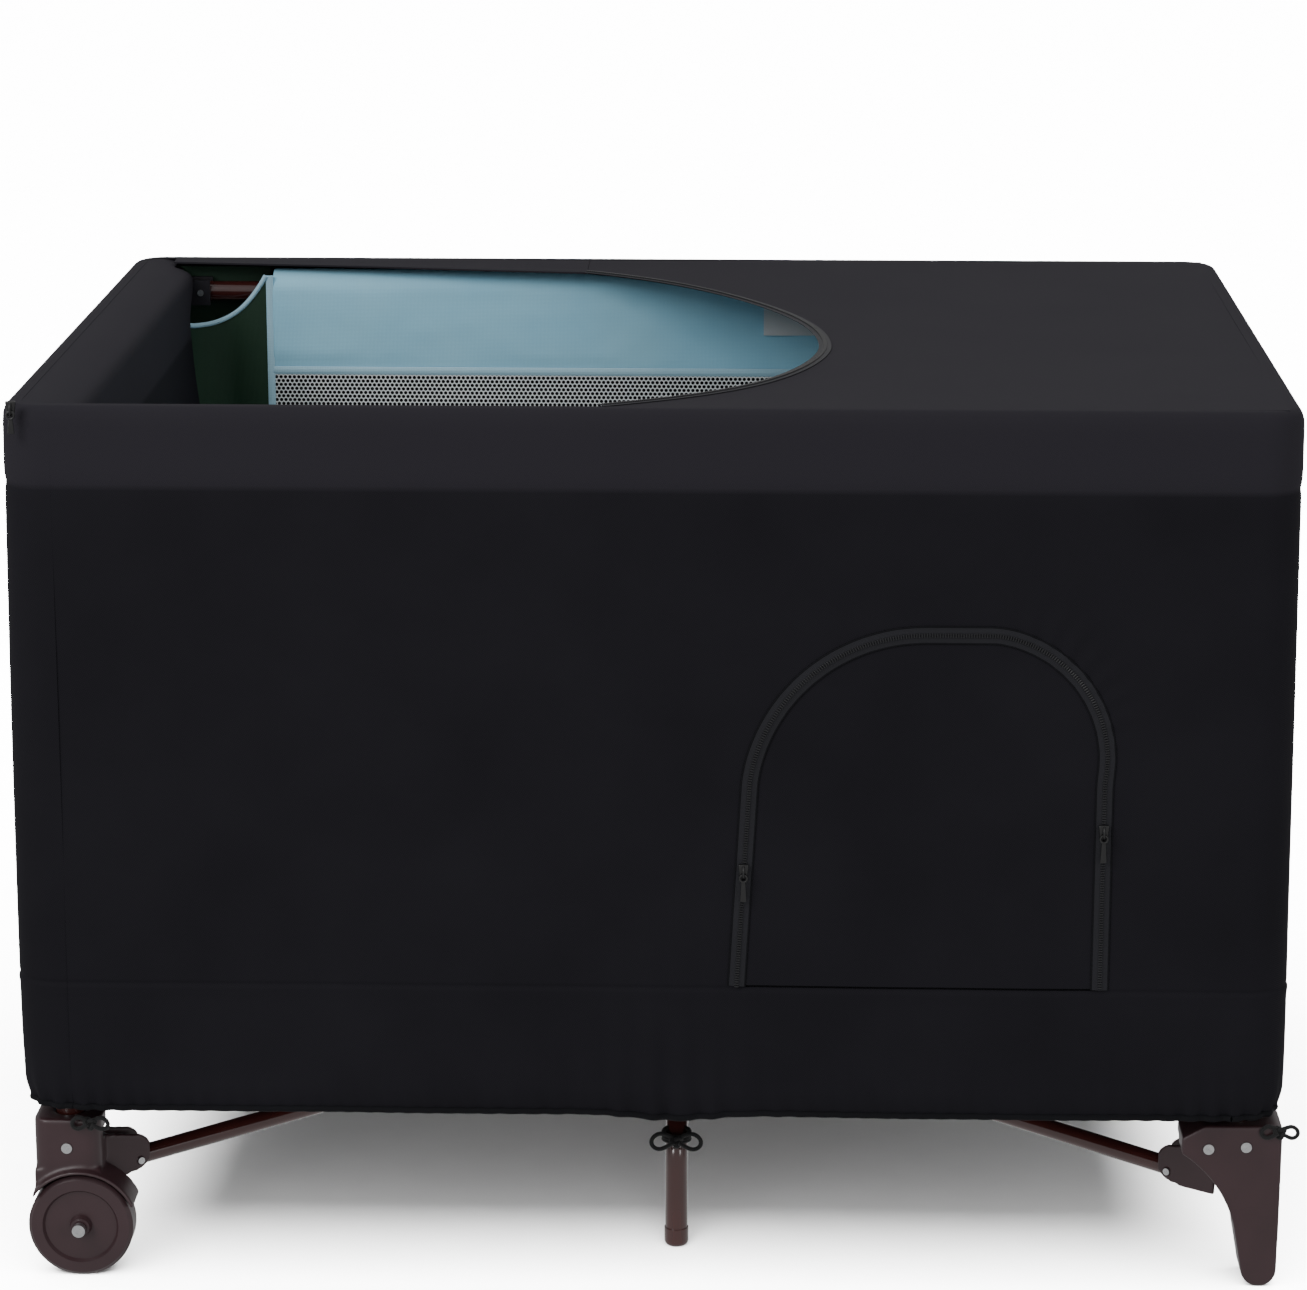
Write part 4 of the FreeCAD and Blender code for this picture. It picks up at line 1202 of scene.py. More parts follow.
        tape = self.tape("door_zip_tape", route, side, lift, mm(12.5))
        dress(tape, ZIP_TAPE)
        modify(tape, "SOLIDIFY", thickness=mm(0.5), offset=0)
        carry(dress(smooth(tape), ZIP_TAPE), Carrier.FRONT, "cover_cloth")
        teeth = self.teeth("door_zip_teeth", route, lambda p: lift(p, 1.0) + normal * mm(0.7), normal)
        carry(dress(teeth, COIL_NYLON), Carrier.FRONT, "zip_metal")
        for shift, name in ((mm(6.8), "door_zip_outer_cord"), (-mm(6.8), "door_zip_inner_cord")):
            points = []
            for i in range(0, 181, 2):
                point, heading = route.at(route.length * i / 180)
                spot = point + side(point, heading) * shift
                points.append(lift(spot, 0.0) + Vector((0, mm(0.2), 0)))
            welt = cord_line(name, points, mm(0.8))
            carry(dress(welt, KNIT_TRIM), Carrier.FRONT, "cover_cloth")

    def make_door_hinge(self) -> None:
        """Tape sewn behind the uncut lower edge of the door."""
        width, height, low = self.door.right - self.door.left, mm(16), self.door.bottom - mm(7)

        def place(u: float, v: float) -> Vector:
            """Point of the tape, just behind the wall."""
            x, z = self.door.left + width * u, low + height * v
            return Vector((x, self.shape.front_y(x, z) + self.shape.thickness + mm(0.3), z))

        tape = cloth_grid("door_hinge_tape", (60, 6), (width, height), place, mm(0.8))
        carry(dress(tape, KNIT_TRIM), Carrier.FRONT, "cover_cloth")

    def make_top_zip(self) -> None:
        """Zip half along the edge of the opening, on the top panel and on the front and back rims."""
        edge = self.opening.edge(0)
        route = Route(arc_sampled(edge[1:], 120))
        up = Vector((0, 0, 1))

        def side(point: Vector, heading: Vector) -> Vector:
            """Away from the opening, so that the tape's face looks up."""
            return up.cross(heading)

        def lift(point: Vector, crown: float) -> Vector:
            """On the top's cloth."""
            return Vector((point.x, point.y, self.top_z(point.x, point.y) + mm(0.7) + mm(0.5) * crown))

        tape = self.tape("top_zip_tape", route, side, lift, mm(11))
        modify(tape, "SOLIDIFY", thickness=mm(0.5), offset=0)
        carry(dress(smooth(tape), ZIP_TAPE), Carrier.TOP, "cover_cloth")
        teeth = self.teeth("top_zip_teeth", route, lambda p: lift(p, 1.0) + up * mm(0.5), up)
        carry(dress(teeth, COIL_NYLON), Carrier.TOP, "zip_metal")

    def slider(self, name: str, node: str, carrier: Carrier, y: float, tab_l: float, shift: float,
               lift: float) -> None:
        """Zip slider with a drilled pull tab, in place of its frame node.

        Args:
            name: Piece name.
            node: Frame node that says where it is.
            carrier: What it rides on.
            y: Cloth surface behind it.
            tab_l: Length of its pull tab.
            shift: How far to the right of its frame node it sits.
            lift: How far above it.
        """
        low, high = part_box(node)
        x = (low.x + high.x) / 2 + shift
        body_z = high.z - mm(7) + lift
        parts = []
        bpy.ops.object.select_all(action="DESELECT")
        bpy.ops.mesh.primitive_cube_add(size=1)
        body = bpy.context.active_object
        body.data.transform(Matrix.Diagonal((mm(9), mm(3.2), mm(13), 1)))
        for vertex in body.data.vertices:
            if vertex.co.z < 0:
                vertex.co.x *= 0.62
        modify(body, "BEVEL", width=mm(1.2), segments=3)
        body.data.transform(Matrix.Translation((x, y - mm(3.0), body_z)))
        parts.append(body)
        bridge = cord_line("bridge", [(x, y - mm(4.2), body_z + mm(5)), (x, y - mm(7.2), body_z + mm(3)),
                                      (x, y - mm(7.2), body_z - mm(3)), (x, y - mm(4.2), body_z - mm(5))],
                           mm(1.0))
        parts.append(bridge)
        bpy.ops.object.select_all(action="DESELECT")
        bpy.ops.mesh.primitive_torus_add(major_segments=28, minor_segments=8, major_radius=mm(3.0),
                                         minor_radius=mm(0.9))
        ring = bpy.context.active_object
        ring.data.transform(Matrix.Translation((x, y - mm(6.0), body_z - mm(4.5)))
                            @ Matrix.Rotation(math.radians(90), 4, "X"))
        parts.append(ring)
        bpy.ops.object.select_all(action="DESELECT")
        bpy.ops.mesh.primitive_cube_add(size=1)
        tab = bpy.context.active_object
        tab.data.transform(Matrix.Diagonal((mm(5.5), mm(1.6), tab_l, 1)))
        for vertex in tab.data.vertices:
            if vertex.co.z > 0:
                vertex.co.x *= 0.6
        modify(tab, "BEVEL", width=mm(0.7), segments=2)
        tab.data.transform(Matrix.Translation((x, y - mm(4.8), body_z - mm(7) - tab_l / 2)))
        parts.append(tab)
        whole = joined(name, parts)
        carry(dress(smooth(whole), ENAMEL_BLACK), carrier, "zip_metal", node)

    def make_sliders(self) -> None:
        """Two sliders on the door and one on the top."""
        for name, node, carrier, tab_l, shift, lift in (
            ("door_slider_left", "door_zip_slider_left", Carrier.SLIDER_LEFT, mm(18), 0.0, 0.0),
            ("door_slider_right", "door_zip_slider_right", Carrier.SLIDER_RIGHT, mm(18), 0.0, 0.0),
            ("top_slider", "top_zip_slider", Carrier.SLIDER_TOP, mm(13), mm(-11), mm(7)),
        ):
            low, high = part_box(node)
            centre = (low + high) / 2
            self.slider(name, node, carrier, self.shape.front_y(centre.x, centre.z) - mm(0.4),
                        tab_l, shift, lift)

    def make_hem(self) -> None:
        """Elastic hem rolled round the lower edge, one stretch for each wall."""
        seam, round_all = self.quarter_lengths()
        half = round_all / 2
        stretches = (("hem_front", -seam, seam, Carrier.FRONT), ("hem_right", seam, half - seam,
                                                                 Carrier.RIGHT),
                     ("hem_back", half - seam, half + seam, Carrier.BACK),
                     ("hem_left", half + seam, round_all - seam, Carrier.LEFT))
        for name, start, end, carrier in stretches:
            count = int((end - start) / mm(6))
            points = []
            for i in range(count + 1):
                s = start + (end - start) * i / count
                points.append(self.shape.skin(s, mm(1.0)) + Vector((0, 0, mm(1.5))))
            carry(dress(cord_line(name, points, mm(2.8)), KNIT_TRIM), carrier, "cover_cloth")

    def build(self) -> None:
        """Make every piece of the cover."""
        self.make_walls()
        self.make_top()
        self.make_flap()
        self.make_door_zip()
        self.make_door_hinge()
        self.make_top_zip()
        self.make_sliders()
        self.make_hem()


def arc_sampled(points: Sequence[Vector], count: int) -> list[Vector]:
    """A line's points spaced evenly."""
    route = Route(points)
    return [route.at(route.length * i / count)[0] for i in range(count + 1)]


# ---- inside -----------------------------------------------------------------------
class Side(Enum):
    """Side of the liner: rail middle, rightward direction seen from inside, inward, half length."""

    BACK = ((0, PEN.leg_y), (1, 0), (0, -1), mm(384), Carrier.BACK)
    FRONT = ((0, -PEN.leg_y), (-1, 0), (0, 1), mm(384), Carrier.FRONT)
    LEFT = ((-PEN.leg_x, 0), (0, 1), (1, 0), mm(249), Carrier.LEFT)
    RIGHT = ((PEN.leg_x, 0), (0, -1), (-1, 0), mm(249), Carrier.RIGHT)

    def point(self, along: float, inward: float, z: float) -> Vector:
        """Place from a distance along the rail, a distance inwards of it, and a height."""
        (cx, cy), (ux, uy), (nx, ny), _, _ = self.value
        return Vector((cx + ux * along + nx * inward, cy + uy * along + ny * inward, z))

    @property
    def half(self) -> float:
        """Half the length between the corner sheets."""
        return self.value[3]

    @property
    def carrier(self) -> Carrier:
        """What this side rides on."""
        return self.value[4]


class Corner(Enum):
    """Corner of the liner by its signs in x and y, with what it rides on."""

    FRONT_LEFT = (-1, -1, Carrier.FRONT)
    FRONT_RIGHT = (1, -1, Carrier.RIGHT)
    BACK_RIGHT = (1, 1, Carrier.BACK)
    BACK_LEFT = (-1, 1, Carrier.BACK)


@dataclass
class Liner:
    """Cloth inside of the pen: padded rail covers, net windows, base bands, corner sheets and a label."""

    plane: float = mm(19)           # inward of the rail's axis
    band_low: float = mm(644)
    bind: float = mm(7)
    net_low: float = mm(236)
    foot: float = mm(144)
    pad_t: float = mm(4.5)
    top_r: float = mm(20)
    cloth_t: float = mm(1.0)
    corner_r: float = mm(45)

    def cover_route(self) -> Route:
        """Section of a rail cover, from its outer skirt over the rail to its inner skirt."""
        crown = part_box("liner_front")[1].z - self.top_r
        line = [Vector((-self.top_r, 0, mm(688))), Vector((-self.top_r, 0, crown))]
        line += [Vector((-self.top_r * math.cos(a), 0, crown + self.top_r * math.sin(a)))
                 for a in (math.radians(d) for d in range(12, 180, 12))]
        line += [Vector((self.top_r, 0, crown)), Vector((self.plane + mm(0.5), 0, self.band_low))]
        return Route(line)

    def make_rail_cover(self, side: Side) -> None:
        """Padded cover over a rail, its inner skirt forming the band above the net."""
        section = self.cover_route()
        name = side.name.lower()

        def place(u: float, v: float) -> Vector:
            """Point of the cover, puffed between its seams and lightly creased."""
            along = side.half * (2 * u - 1)
            spot, heading = section.at(section.length * v)
            skirt = ease((v - 0.45) / 0.2)
            crease = noise.noise(Vector((along * 9.0, v * 4.0, 3.3))) * mm(1.6) * skirt * ease((1 - v) / 0.1)
            crease += noise.noise(Vector((along * 30.0, v * 9.0, 1.3))) * mm(0.6) * ease((1 - v) / 0.1)
            puff = -mm(1.0) * (bell(v, 0.05) + bell(1 - v, 0.05))
            off = crease + puff
            return side.point(along, spot.x + off * heading.z * -1 if v > 0.5 else spot.x, spot.z)

        cover = cloth_grid(f"rail_pad_{name}", (int(side.half * 2 / mm(8)), 46),
                           (side.half * 2, section.length),
                           place, -self.pad_t)
        modify(outward(cover), "BEVEL", width=mm(1.4), segments=2, limit_method="ANGLE",
               angle_limit=math.radians(60))
        dress(smooth(cover, 50.0), POLY_BLUE)
        carry(cover, side.carrier, "liner_cloth", f"liner_{name}")

    def strip(
        self, name: str, side: Side, low: tuple[float, float], high: tuple[float, float], finish: Finish,
        bulge: float, thickness: float, wave: float = 0.0,
    ) -> bpy.types.Object:
        """Upright piece of cloth in the plane of the liner.

        Args:
            name: Piece name.
            side: Side it is on.
            low: Lower left corner as distance along and height.
            high: Upper right corner.
            finish: Its finish.
            bulge: How far its middle stands in front of the plane.
            thickness: Its thickness.
            wave: Depth of its slack.

        Returns:
            The piece.
        """
        width, height = high[0] - low[0], high[1] - low[1]
        thin = min(width, height)

        def place(u: float, v: float) -> Vector:
            """Point of the strip."""
            along, z = low[0] + width * u, low[1] + height * v
            across = (v if height < width else u) * 2 - 1
            out = bulge * (1 - across ** 2) if thin < mm(40) else 0.0
            inside = min(1.0, 8 * u, 8 - 8 * u, 8 * v, 8 - 8 * v)
            out += wave * noise.noise(Vector((along * 5, z * 4, 6.1))) * inside
            return side.point(along, self.plane + out, z)

        def cells(length: float) -> int:
            """Cells over a length."""
            return max(6, min(90, int(length / mm(9))))

        piece = cloth_grid(name, (cells(width), cells(height)), (width, height), place, thickness)
        carry(dress(piece, finish), side.carrier, "liner_cloth")
        return piece

    def make_wall(self, side: Side) -> None:
        """Net window with its bindings, over a solid base band."""
        name, half = side.name.lower(), side.half
        top = self.band_low - self.bind
        net = self.strip(f"net_{name}", side, (-half, self.net_low), (half, top + mm(3)), NET_WHITE, 0.0,
                         mm(0.4),
                         mm(3))
        base = self.strip(f"base_band_{name}", side, (-half, self.foot), (half, self.net_low), POLY_BLUE, 0.0,
                          self.cloth_t, mm(2))
        self.strip(f"net_binding_top_{name}", side, (-half, top), (half, self.band_low + mm(1)), BIND_BLUE,
                   mm(1.2),
                   mm(2.4))
        self.strip(f"net_binding_low_{name}", side, (-half, self.net_low - mm(4)),
                   (half, self.net_low + mm(4)),
                   BIND_BLUE, mm(1.2), mm(2.4))
        for end, word in ((-1, "a"), (1, "b")):
            inner, outer = end * (half - mm(1)), end * (half + mm(8))
            self.strip(f"corner_binding_{name}_{word}", side, (min(inner, outer), self.foot),
                       (max(inner, outer), mm(733)), BIND_BLUE, mm(1.4), mm(2.4))

    def corner_route(self, corner: Corner) -> Route:
        """Plan of a corner sheet, drawn so that its inside face is to the right hand."""
        sx, sy, _ = corner.value
        x, y = PEN.leg_x - self.plane, PEN.leg_y - self.plane
        r, reach_x, reach_y = self.corner_r, mm(390), mm(255)
        line = [Vector((reach_x, y, 0)), Vector((x - r, y, 0))]
        line += [Vector((x - r + r * math.sin(a), y - r + r * math.cos(a), 0))
                 for a in (math.radians(d) for d in range(10, 90, 10))]
        line += [Vector((x, y - r, 0)), Vector((x, reach_y, 0))]
        points = [Vector((p.x * sx, p.y * sy, 0)) for p in line]
        return Route(points if sx * sy > 0 else points[::-1])

    def make_sleeve(self, corner: Corner) -> None:
        """Sleeve of the same cloth outside the leg, behind the scalloped sheet."""
        name = corner.name.lower()
        inner = self.plane
        self.plane, self.corner_r = -mm(17), mm(20)
        route = self.corner_route(corner)
        self.plane, self.corner_r = inner, mm(45)
        low, high = PEN.hem - mm(3), mm(736)

        def place(u: float, v: float) -> Vector:
            """Point of the sleeve."""
            point, _ = route.at(route.length * u)
            return point + Vector((0, 0, low + (high - low) * v))

        sleeve = cloth_grid(f"corner_sleeve_{name}", (36, 60), (route.length, high - low), place,
                            self.cloth_t)
        carry(dress(sleeve, POLY_GREEN), corner.value[2], "liner_cloth")

    def corner_top(self, share: float) -> float:
        """Height of a corner sheet's scalloped top edge."""
        return mm(687) + mm(46) * abs(2 * share - 1) ** 2.5

    def make_corner(self, corner: Corner) -> None:
        """Loose concave sheet across a corner, hung from a scalloped, piped edge."""
        name = corner.name.lower()
        route = self.corner_route(corner)
        carrier = corner.value[2]

        def surface(share: float, height: float) -> Vector:
            """Point of the sheet from its share along and its share of the height."""
            point, heading = route.at(route.length * share)
            z = self.foot + (self.corner_top(share) - self.foot) * height
            inside = Vector((heading.y, -heading.x, 0))
            free = min(1.0, 5 * share, 5 - 5 * share)
            fold = noise.noise(Vector((point.x * 26, point.y * 26, z * 3.4))) * mm(4.5) * free
            fold += noise.noise(Vector((point.x * 60, point.y * 60, z * 12))) * mm(1.4) * free
            return point + inside * (fold + mm(1)) + Vector((0, 0, z))

        sheet = cloth_grid(f"corner_sheet_{name}", (44, 90), (route.length, mm(560)), surface, self.cloth_t)
        dress(sheet, POLY_GREEN)
        carry(sheet, carrier, "liner_cloth")
        edge = [surface(i / 40, 1.0) for i in range(41)]
        piping = cord_line(f"corner_piping_{name}", edge, mm(2.4))
        carry(dress(piping, BIND_BLUE), carrier, "liner_cloth")

    def make_label(self) -> None:
        """Blank satin label sewn flat on the back band."""
        side = Side.BACK

        def place(u: float, v: float) -> Vector:
            """Point of the label, its free lower edge lifting a little."""
            lift = mm(0.8) + mm(1.6) * (1 - v) ** 2 * (0.6 + 0.4 * math.sin(u * 5))
            return side.point(mm(88) + mm(50) * u, self.top_r + lift + mm(0.6), mm(678) + mm(28) * v)

        label = cloth_grid("sewn_label", (16, 10), (mm(50), mm(28)), place, mm(0.4))
        carry(dress(label, LABEL_SATIN), Carrier.BACK, "liner_cloth")

    def build(self) -> None:
        """Make every side and corner."""
        for side in Side:
            self.make_rail_cover(side)
            self.make_wall(side)
        for corner in Corner:
            self.make_corner(corner)
            self.make_sleeve(corner)
        self.make_label()


@dataclass
class FloorPad:
    """Padded floor in four hinged quarters, each swelling between its quilting lines."""

    voxel: float = mm(6)
    steps: int = 20
    pressure: float = 4.0
    cap: float = mm(3)
    channel: float = mm(2.6)
    channel_w: float = mm(5)
    keep: float = 0.15
    proud: float = mm(1.5)
    cloth_z: float = mm(126.8)

    def blank(self) -> bpy.types.Object:
        """Front right quarter a little smaller than its finished size."""
        low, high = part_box("floor_pad_back_right")
        size, centre = high - low, (low + high) / 2
        bpy.ops.object.select_all(action="DESELECT")
        bpy.ops.mesh.primitive_cube_add(size=1)
        pad = bpy.context.active_object
        pad.name = "floor_cushion_back_right"
        shrink = Vector((0, 0, mm(3)))
        pad.data.transform(Matrix.Translation(centre) @ Matrix.Diagonal((*(size - shrink), 1)))
        modify(pad, "BEVEL", width=mm(7), segments=3)
        return modify(pad, "REMESH", mode="VOXEL", voxel_size=self.voxel)

    def swell(self, pad: bpy.types.Object) -> None:
        """Blow the pad up by cloth simulation, then cap how far each point went."""
        start = [v.co.copy() for v in pad.data.vertices]
        activate(pad)
        cloth = pad.modifiers.new("swell", "CLOTH")
        cloth.settings.use_pressure = True
        cloth.settings.uniform_pressure_force = self.pressure
        cloth.settings.effector_weights.gravity = 0
        cloth.point_cache.frame_end = self.steps
        for step in range(1, self.steps + 1):
            bpy.context.scene.frame_set(step)
        bpy.ops.object.modifier_apply(modifier=cloth.name)
        bpy.context.scene.frame_set(1)
        for vertex, old in zip(pad.data.vertices, start):
            move = vertex.co - old
            if move.length > self.cap:
                move *= self.cap / move.length
            vertex.co = old + move

    def quilt(self, pad: bpy.types.Object) -> None:
        """Pull the pad in along its quilting lines and keep it in its box."""
        low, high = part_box("floor_pad_back_right")
        middle = (low + high) / 2
        lines_x = [low.x + (high.x - low.x) * i / 3 for i in (1, 2)]
        lines_y = [middle.y]
        for vertex in pad.data.vertices:
            near = max([bell(vertex.co.x - x, self.channel_w) for x in lines_x]
                       + [bell(vertex.co.y - y, self.channel_w) for y in lines_y])
            share = (vertex.co.z - middle.z) / (high.z - middle.z)
            vertex.co.z -= share * self.channel * near
            for axis in range(3):
                loose = 0.0 if axis == 2 else self.proud
                vertex.co[axis] = min(max(vertex.co[axis], low[axis] - loose), high[axis] + self.proud)

    def build(self) -> None:
        """Make one quarter and mirror it to the others."""
        pad = self.blank()
        self.swell(pad)
        modify(pad, "SUBSURF", levels=1, render_levels=1)
        self.quilt(pad)
        dress(smooth(pad, 60.0), PAD_CLOTH)
        pad.data.materials.append(NON_WOVEN.build())
        for face in pad.data.polygons:
            face.material_index = 1 if face.normal.z < -0.4 else 0
        base = self.base_cloth()
        others = (("back_left", (-1, 1)), ("front_left", (-1, -1)), ("front_right", (1, -1)))
        quarters = [("back_right", pad, base, (1, 1))]
        quarters += [(word, mirrored(pad, f"floor_cushion_{word}", (*signs, 1)),
                      mirrored(base, f"floor_base_cloth_{word}", (*signs, 1)), signs) for word,
                     signs in others]
        for word, cushion, cloth, signs in quarters:
            ride_rigid(cushion, f"floor_tube_{word}", "pad_cloth", f"floor_pad_{word}")
            ride_rigid(cloth, f"floor_tube_{word}", "liner_cloth")
            for piece in (cushion, cloth):
                self.gather(piece, word, signs)

    def base_cloth(self) -> bpy.types.Object:
        """Quarter of the cloth floor that the cushions lie on, its outer edges turned up."""
        size = (mm(468), mm(325))

        def place(u: float, v: float) -> Vector:
            """Point of the cloth."""
            rise = mm(23) * max(ease((size[0] * (u - 1) + mm(9)) / mm(9)),
                                ease((size[1] * (v - 1) + mm(9)) / mm(9)))
            return Vector((mm(0.05) + size[0] * u, mm(0.05) + size[1] * v, self.cloth_z + rise))

        return dress(cloth_grid("floor_base_cloth_back_right", (156, 108), size, place, mm(0.9)), NON_WOVEN)

    def gather(self, piece: bpy.types.Object, word: str, signs: tuple[int, int]) -> None:
        """Give a quarter its own mesh."""
        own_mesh(piece)


@dataclass
class TieCords:
    """Braided cords that tie the cover's hem round the legs."""

    radius: float = mm(1.8)
    knot_r: float = mm(1.6)

    def knot(self, name: str, at: Vector, out: Vector, body: str) -> None:
        """Overhand knot.

        Args:
            name: Piece name.
            at: Its middle.
            out: Direction it faces.
            body: Body it rides on.
        """
        turn = out.to_track_quat("Z", "Y").to_matrix()
        points = []
        for i in range(36):
            t = 2 * math.pi * i / 36
            points.append(at + turn @ Vector((math.sin(t) + 2 * math.sin(2 * t),
                                              math.cos(t) - 2 * math.cos(2 * t),
                                              -1.2 * math.sin(3 * t))) * self.knot_r)
        ride_rigid(dress(cord_line(name, points, self.radius, closed=True), BRAID), body, "cover_cloth")

    def free(self, name: str, points: Sequence[Vector], far_end: str, body: str) -> None:
        """A loose run of cord, kept as a curve.

        Args:
            name: Piece name.
            points: Control points from the knot.
            far_end: Not used.
            body: Body it rides on.
        """
        piece = cord_line(name, points, self.radius, keep_curve=True)
        dress(piece, BRAID)
        path = Route(curve_points(points))
        tuple(path.points[0])
        ride_rigid(piece, body, "cover_cloth")

    def wrap(self, name: str, centre: Vector, radius: float, body: str) -> None:
        """Cord wound three times round a leg.

        Args:
            name: Piece name.
            centre: Middle of the winding on the leg's axis.
            radius: Radius of the leg.
            body: Body it rides on.
        """
        turns = []
        for row in (-1, 0, 1):
            bpy.ops.object.select_all(action="DESELECT")
            bpy.ops.mesh.primitive_torus_add(major_segments=40, minor_segments=10,
                                             major_radius=radius + self.radius * 0.9,
                                             minor_radius=self.radius)
            turn = bpy.context.active_object
            tilt = Matrix.Rotation(math.radians(5 * row), 4, "X")
            turn.data.transform(Matrix.Translation(centre + Vector((0, 0, 1.7 * self.radius * row))) @ tilt)
            turns.append(turn)
        ride_rigid(dress(smooth(joined(name, turns)), BRAID), body, "cover_cloth")

    def bow(self, word: str, at: Vector, right: Vector, out: Vector, body: str, size: float) -> None:
        """Knot with a loop on each side, its ends tucked up under the hem.

        Args:
            word: End of the piece names.
            at: Middle of the knot.
            right: Direction of the right loop.
            out: Direction away from the leg.
            body: Body it rides on.
            size: Reach of a loop.
        """
        up = Vector((0, 0, 1))
        self.knot(f"tie_knot_{word}", at + out * mm(1), out, body)
        for sign, end in ((1, "right"), (-1, "left")):
            side = right * sign
            steps = ((0.10, 0.00, 0.12), (0.35, 0.10, 0.30), (0.72, 0.14, 0.38), (1.0, 0.10, 0.12),
                     (1.0, 0.04, -0.20),
                     (0.72, 0.10, -0.36), (0.35, 0.20, -0.18), (0.12, 0.24, 0.0))
            points = [at + side * size * a + out * size * b + up * size * c for a, b, c in steps]
            self.free(f"tie_loop_{word}_{end}", points, "object", body)

    def build(self) -> None:
        """Tie the hem at four corners and both middle legs."""
        right = Vector((1, 0, 0))
        for sy, word in ((-1, "front"), (1, "back")):
            out = Vector((0, sy, 0))
            low = PEN.hem - mm(14)
            self.bow(f"{word}_left", Vector((mm(-467), sy * mm(375), low)), right, out, f"leg_{word}_left",
                     mm(15))
            self.bow(f"{word}_right", Vector((mm(521), sy * mm(372), low + mm(2))), right, out,
                     f"leg_{word}_right", mm(15))
            leg_low, leg_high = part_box(f"middle_leg_{word}")
            radius = mm(9.5)
            axis = Vector(((leg_low.x + leg_high.x) / 2, sy * mm(293), mm(99)))
            self.wrap(f"tie_wrap_{word}_middle", axis, radius, f"middle_leg_{word}")
            at = axis + out * (radius + 2.4 * self.radius)
            self.bow(f"{word}_middle", at, right, out, f"middle_leg_{word}", mm(21))


def curve_points(points: Sequence[Vector]) -> list[Vector]:
    """Points that a cord's curve passes through."""
    probe = cord_line("probe", points, mm(0.5), keep_curve=True)
    probe.data.bevel_depth = 0
    mesh = probe.to_mesh()
    found = [v.co.copy() for v in mesh.vertices]
    probe.to_mesh_clear()
    bpy.data.objects.remove(probe)
    return found


# ---- frame ------------------------------------------------------------------------
@dataclass
class FrameParts:
    """The frame's own nodes, given their finishes, and the softened bottom mouldings."""

    voxel: float = mm(1.6)
    ear_middle: tuple[float, float] = (mm(546), mm(90))
    rounds: int = 7
    hardware: list[bpy.types.Object] = field(default_factory=list)

    RULES: ClassVar[tuple[tuple[str, Finish], ...]] = (
        ("hub_rivets", ZINC), ("rivets", ZINC), ("leg_tube", ENAMEL_BROWN), ("floor_tube", ENAMEL_BROWN),
        ("middle_leg", ENAMEL_BROWN), ("rail_latch", PP_BLACK), ("rail_", ENAMEL_BROWN),
        ("top_corner", PP_BLACK),
        ("hub", PP_BLACK), ("caster_housing", PP_BROWN), ("foot_bracket", PP_BROWN), ("wheel", PP_WHEEL),
        ("latch_button", PP_GREY),
    )

    def round_ears(self, piece: bpy.types.Object, centre: Vector) -> None:
        """Round the ends of the plates that hold a floor tube.

        Args:
            piece: Moulding.
            centre: Its middle.
        """
        along = Vector((math.copysign(PEN.leg_x, centre.x), math.copysign(PEN.leg_y, centre.y),
                        0)).normalized()
        side = Vector((-along.y, along.x, 0))
        ring, far, middle = mm(17), mm(585), self.ear_middle
        slope, past, reach = mm(8), mm(14), mm(22)
        for up in (-1, 1):
            arc = [(middle[0] - ring * math.cos(a), middle[1] + up * ring * math.sin(a))
                   for a in (math.radians(10 * step) for step in range(10))]
            edge = arc[-1][1]
            outline = [*arc, (far, edge + up * slope), (far, edge + up * past),
                       (arc[0][0] - past, edge + up * past), (arc[0][0] - past, arc[0][1])]
            points = [along * r - side * reach + Vector((0, 0, z)) for r, z in outline]
            cut(piece, prism(points, side * 2 * reach), "DIFFERENCE")

    def trim_fender(self, piece: bpy.types.Object) -> None:
        """Cut the fender flush with the outer face of the block above it."""
        outside, face, far, tall = mm(-540), mm(-517), mm(400), mm(150)
        places = ((outside, -far, 0), (face, -far, 0), (face, far, 0), (outside, far, 0))
        corners = [Vector(place) for place in places]
        cut(piece, prism(corners, Vector((0, 0, tall))), "DIFFERENCE")

    def soften(self, node: str, finish: Finish, slot: str, body: str) -> bpy.types.Object:
        """Moulding with its edges and corners rounded, in place of its node.

        Args:
            node: Frame node.
            finish: Its finish.
            slot: Not used; passed on to ride_rigid, which doesn't read it.
            body: Body it rides on.

        Returns:
            The moulding.
        """
        piece = bpy.data.objects.new(f"{node}_moulding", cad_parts[node].data.copy())
        bpy.context.scene.collection.objects.link(piece)
        outward(piece)
        self.round_ears(piece, node_centre(node))
        if node.startswith("caster"):
            self.trim_fender(piece)
        modify(piece, "REMESH", mode="VOXEL", voxel_size=self.voxel)
        modify(piece, "SMOOTH", factor=0.5, iterations=self.rounds)
        return ride_rigid(dress(smooth(piece, 60.0), finish), body, slot, node)

    def build(self) -> None:
        """Dress each node by the start of its name, and round the bottom mouldings."""
        for word in ("front", "back"):
            self.hardware.append(self.soften(f"caster_housing_{word}_left", PP_BROWN, "foot_moulding",
                                             f"leg_{word}_left"))
            self.hardware.append(self.soften(f"foot_bracket_{word}_right", PP_BROWN, "foot_moulding",
                                             f"leg_{word}_right"))
        for name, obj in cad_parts.items():
            finish = next((f for start, f in self.RULES if name.startswith(start)), None)
            if finish:
                dress(obj, finish)
                self.hardware.append(obj)
                LOG.info("%s is %s", name, finish.name)


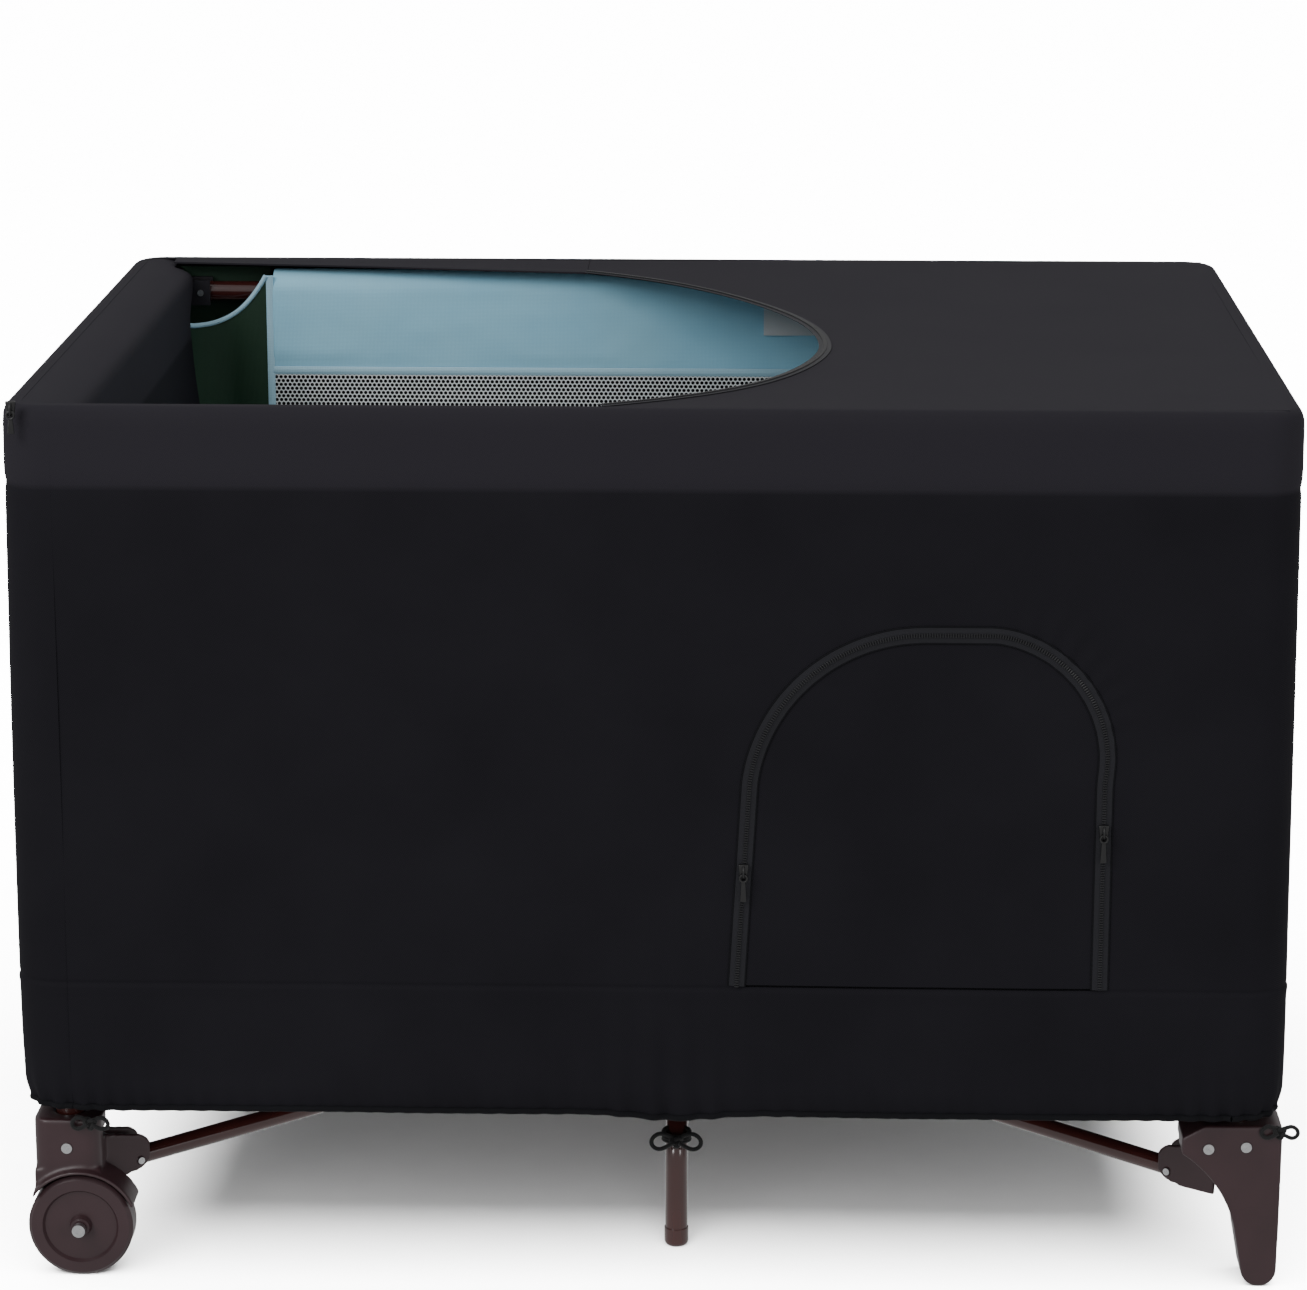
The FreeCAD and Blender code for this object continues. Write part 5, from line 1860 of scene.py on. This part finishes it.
# ---- studio -----------------------------------------------------------------------
@dataclass
class Studio:
    """Pale floor, soft lights and the camera."""

    eye: Point = (0.0983, -3.6323, 1.3929)
    pitch: float = 14.487
    yaw: float = 1.68
    lens: float = 115.08
    floor_size: float = 60.0
    sweep: float = 50.0
    kicker_size: float = 0.7
    SWEEPS: ClassVar[tuple[tuple[str, float, float, float], ...]] = (      # name, share, tilt, spread
        ("sweep_high", 1.0, 8.0, 84.0), ("sweep_low", 1 / 18, 60.0, 50.0))
    KICKERS: ClassVar[tuple[tuple[str, Point, float], ...]] = (          # name, place, watts
        ("kicker_left", (-1.6, -2.6, 0.9), 17.0), ("kicker_right", (1.8, -2.4, 0.7), 8.0))

    def make_floor(self) -> None:
        """A large plain floor."""
        bpy.ops.object.select_all(action="DESELECT")
        bpy.ops.mesh.primitive_plane_add(size=self.floor_size)
        floor = bpy.context.active_object
        floor.name = "studio_floor"
        floor.visible_diffuse = False
        floor.visible_glossy = False
        dress(floor, BACKDROP)
        self.light_floor(floor)

    def light_floor(self, floor: bpy.types.Object) -> None:
        """Broad light that reaches the floor alone, as on a lit studio sweep."""
        group = bpy.data.collections.new("studio_sweep")
        group.objects.link(floor)
        for name, share, tilt, width in self.SWEEPS:
            data = bpy.data.lights.new(name, "SUN")
            data.energy = self.sweep * share
            data.angle = math.radians(width)
            sweep = bpy.data.objects.new(name, data)
            bpy.context.scene.collection.objects.link(sweep)
            sweep.rotation_euler = (math.radians(tilt), 0, math.radians(-10))
            sweep.light_linking.receiver_collection = group

    def lamp(self, name: str, place: Point, size: float, power: float) -> bpy.types.Object:
        """Square soft light aimed at the pen."""
        data = bpy.data.lights.new(name, "AREA")
        data.size = size
        data.energy = power
        lamp = bpy.data.objects.new(name, data)
        bpy.context.scene.collection.objects.link(lamp)
        lamp.location = place
        lamp.rotation_euler = (Vector((0, 0, 0.4)) - Vector(place)).to_track_quat("-Z", "Y").to_euler()
        return lamp

    def light_hardware(self, hardware: Sequence[bpy.types.Object]) -> None:
        """Low strip light that picks out the tubes and bottom mouldings alone."""
        group = bpy.data.collections.new("hardware")
        for piece in hardware:
            group.objects.link(piece)
        for name, place, power in self.KICKERS:
            lamp = self.lamp(name, place, self.kicker_size, power)
            lamp.light_linking.receiver_collection = group

    def make_lights(self) -> None:
        """Bright surround, a key from the upper front left and a fill from the right."""
        world = bpy.data.worlds.new("studio")
        world.use_nodes = True
        world.node_tree.nodes["Background"].inputs["Color"].default_value = linear("#ffffff")
        world.node_tree.nodes["Background"].inputs["Strength"].default_value = 0.62
        bpy.context.scene.world = world
        self.lamp("key", (-2.4, -2.6, 3.0), 2.0, 66.0)
        self.lamp("fill", (2.8, -2.4, 2.2), 2.4, 12.0)
        self.lamp("rim", (0.4, 2.4, 3.2), 2.4, 12.0)

    def make_camera(self) -> None:
        """Camera in front, looking a little down."""
        data = bpy.data.cameras.new("camera")
        data.lens = self.lens
        camera = bpy.data.objects.new("camera", data)
        bpy.context.scene.collection.objects.link(camera)
        aim = Matrix.Rotation(math.radians(self.yaw), 4, "Z") @ Matrix.Rotation(math.radians(90 - self.pitch),
                                 4, "X")
        camera.matrix_world = Matrix.Translation(self.eye) @ aim
        bpy.context.scene.camera = camera

    def build(self) -> None:
        """Make floor, lights and camera."""
        self.make_floor()
        self.make_lights()
        self.make_camera()


def main() -> None:
    """Build the pen and its studio."""
    studio = Studio()
    studio.build()
    parts = FrameParts()
    parts.build()
    studio.light_hardware(parts.hardware)
    Liner().build()
    FloorPad().build()
    TieCords().build()
    Cover().build()


if __name__ == "__main__":
    main()
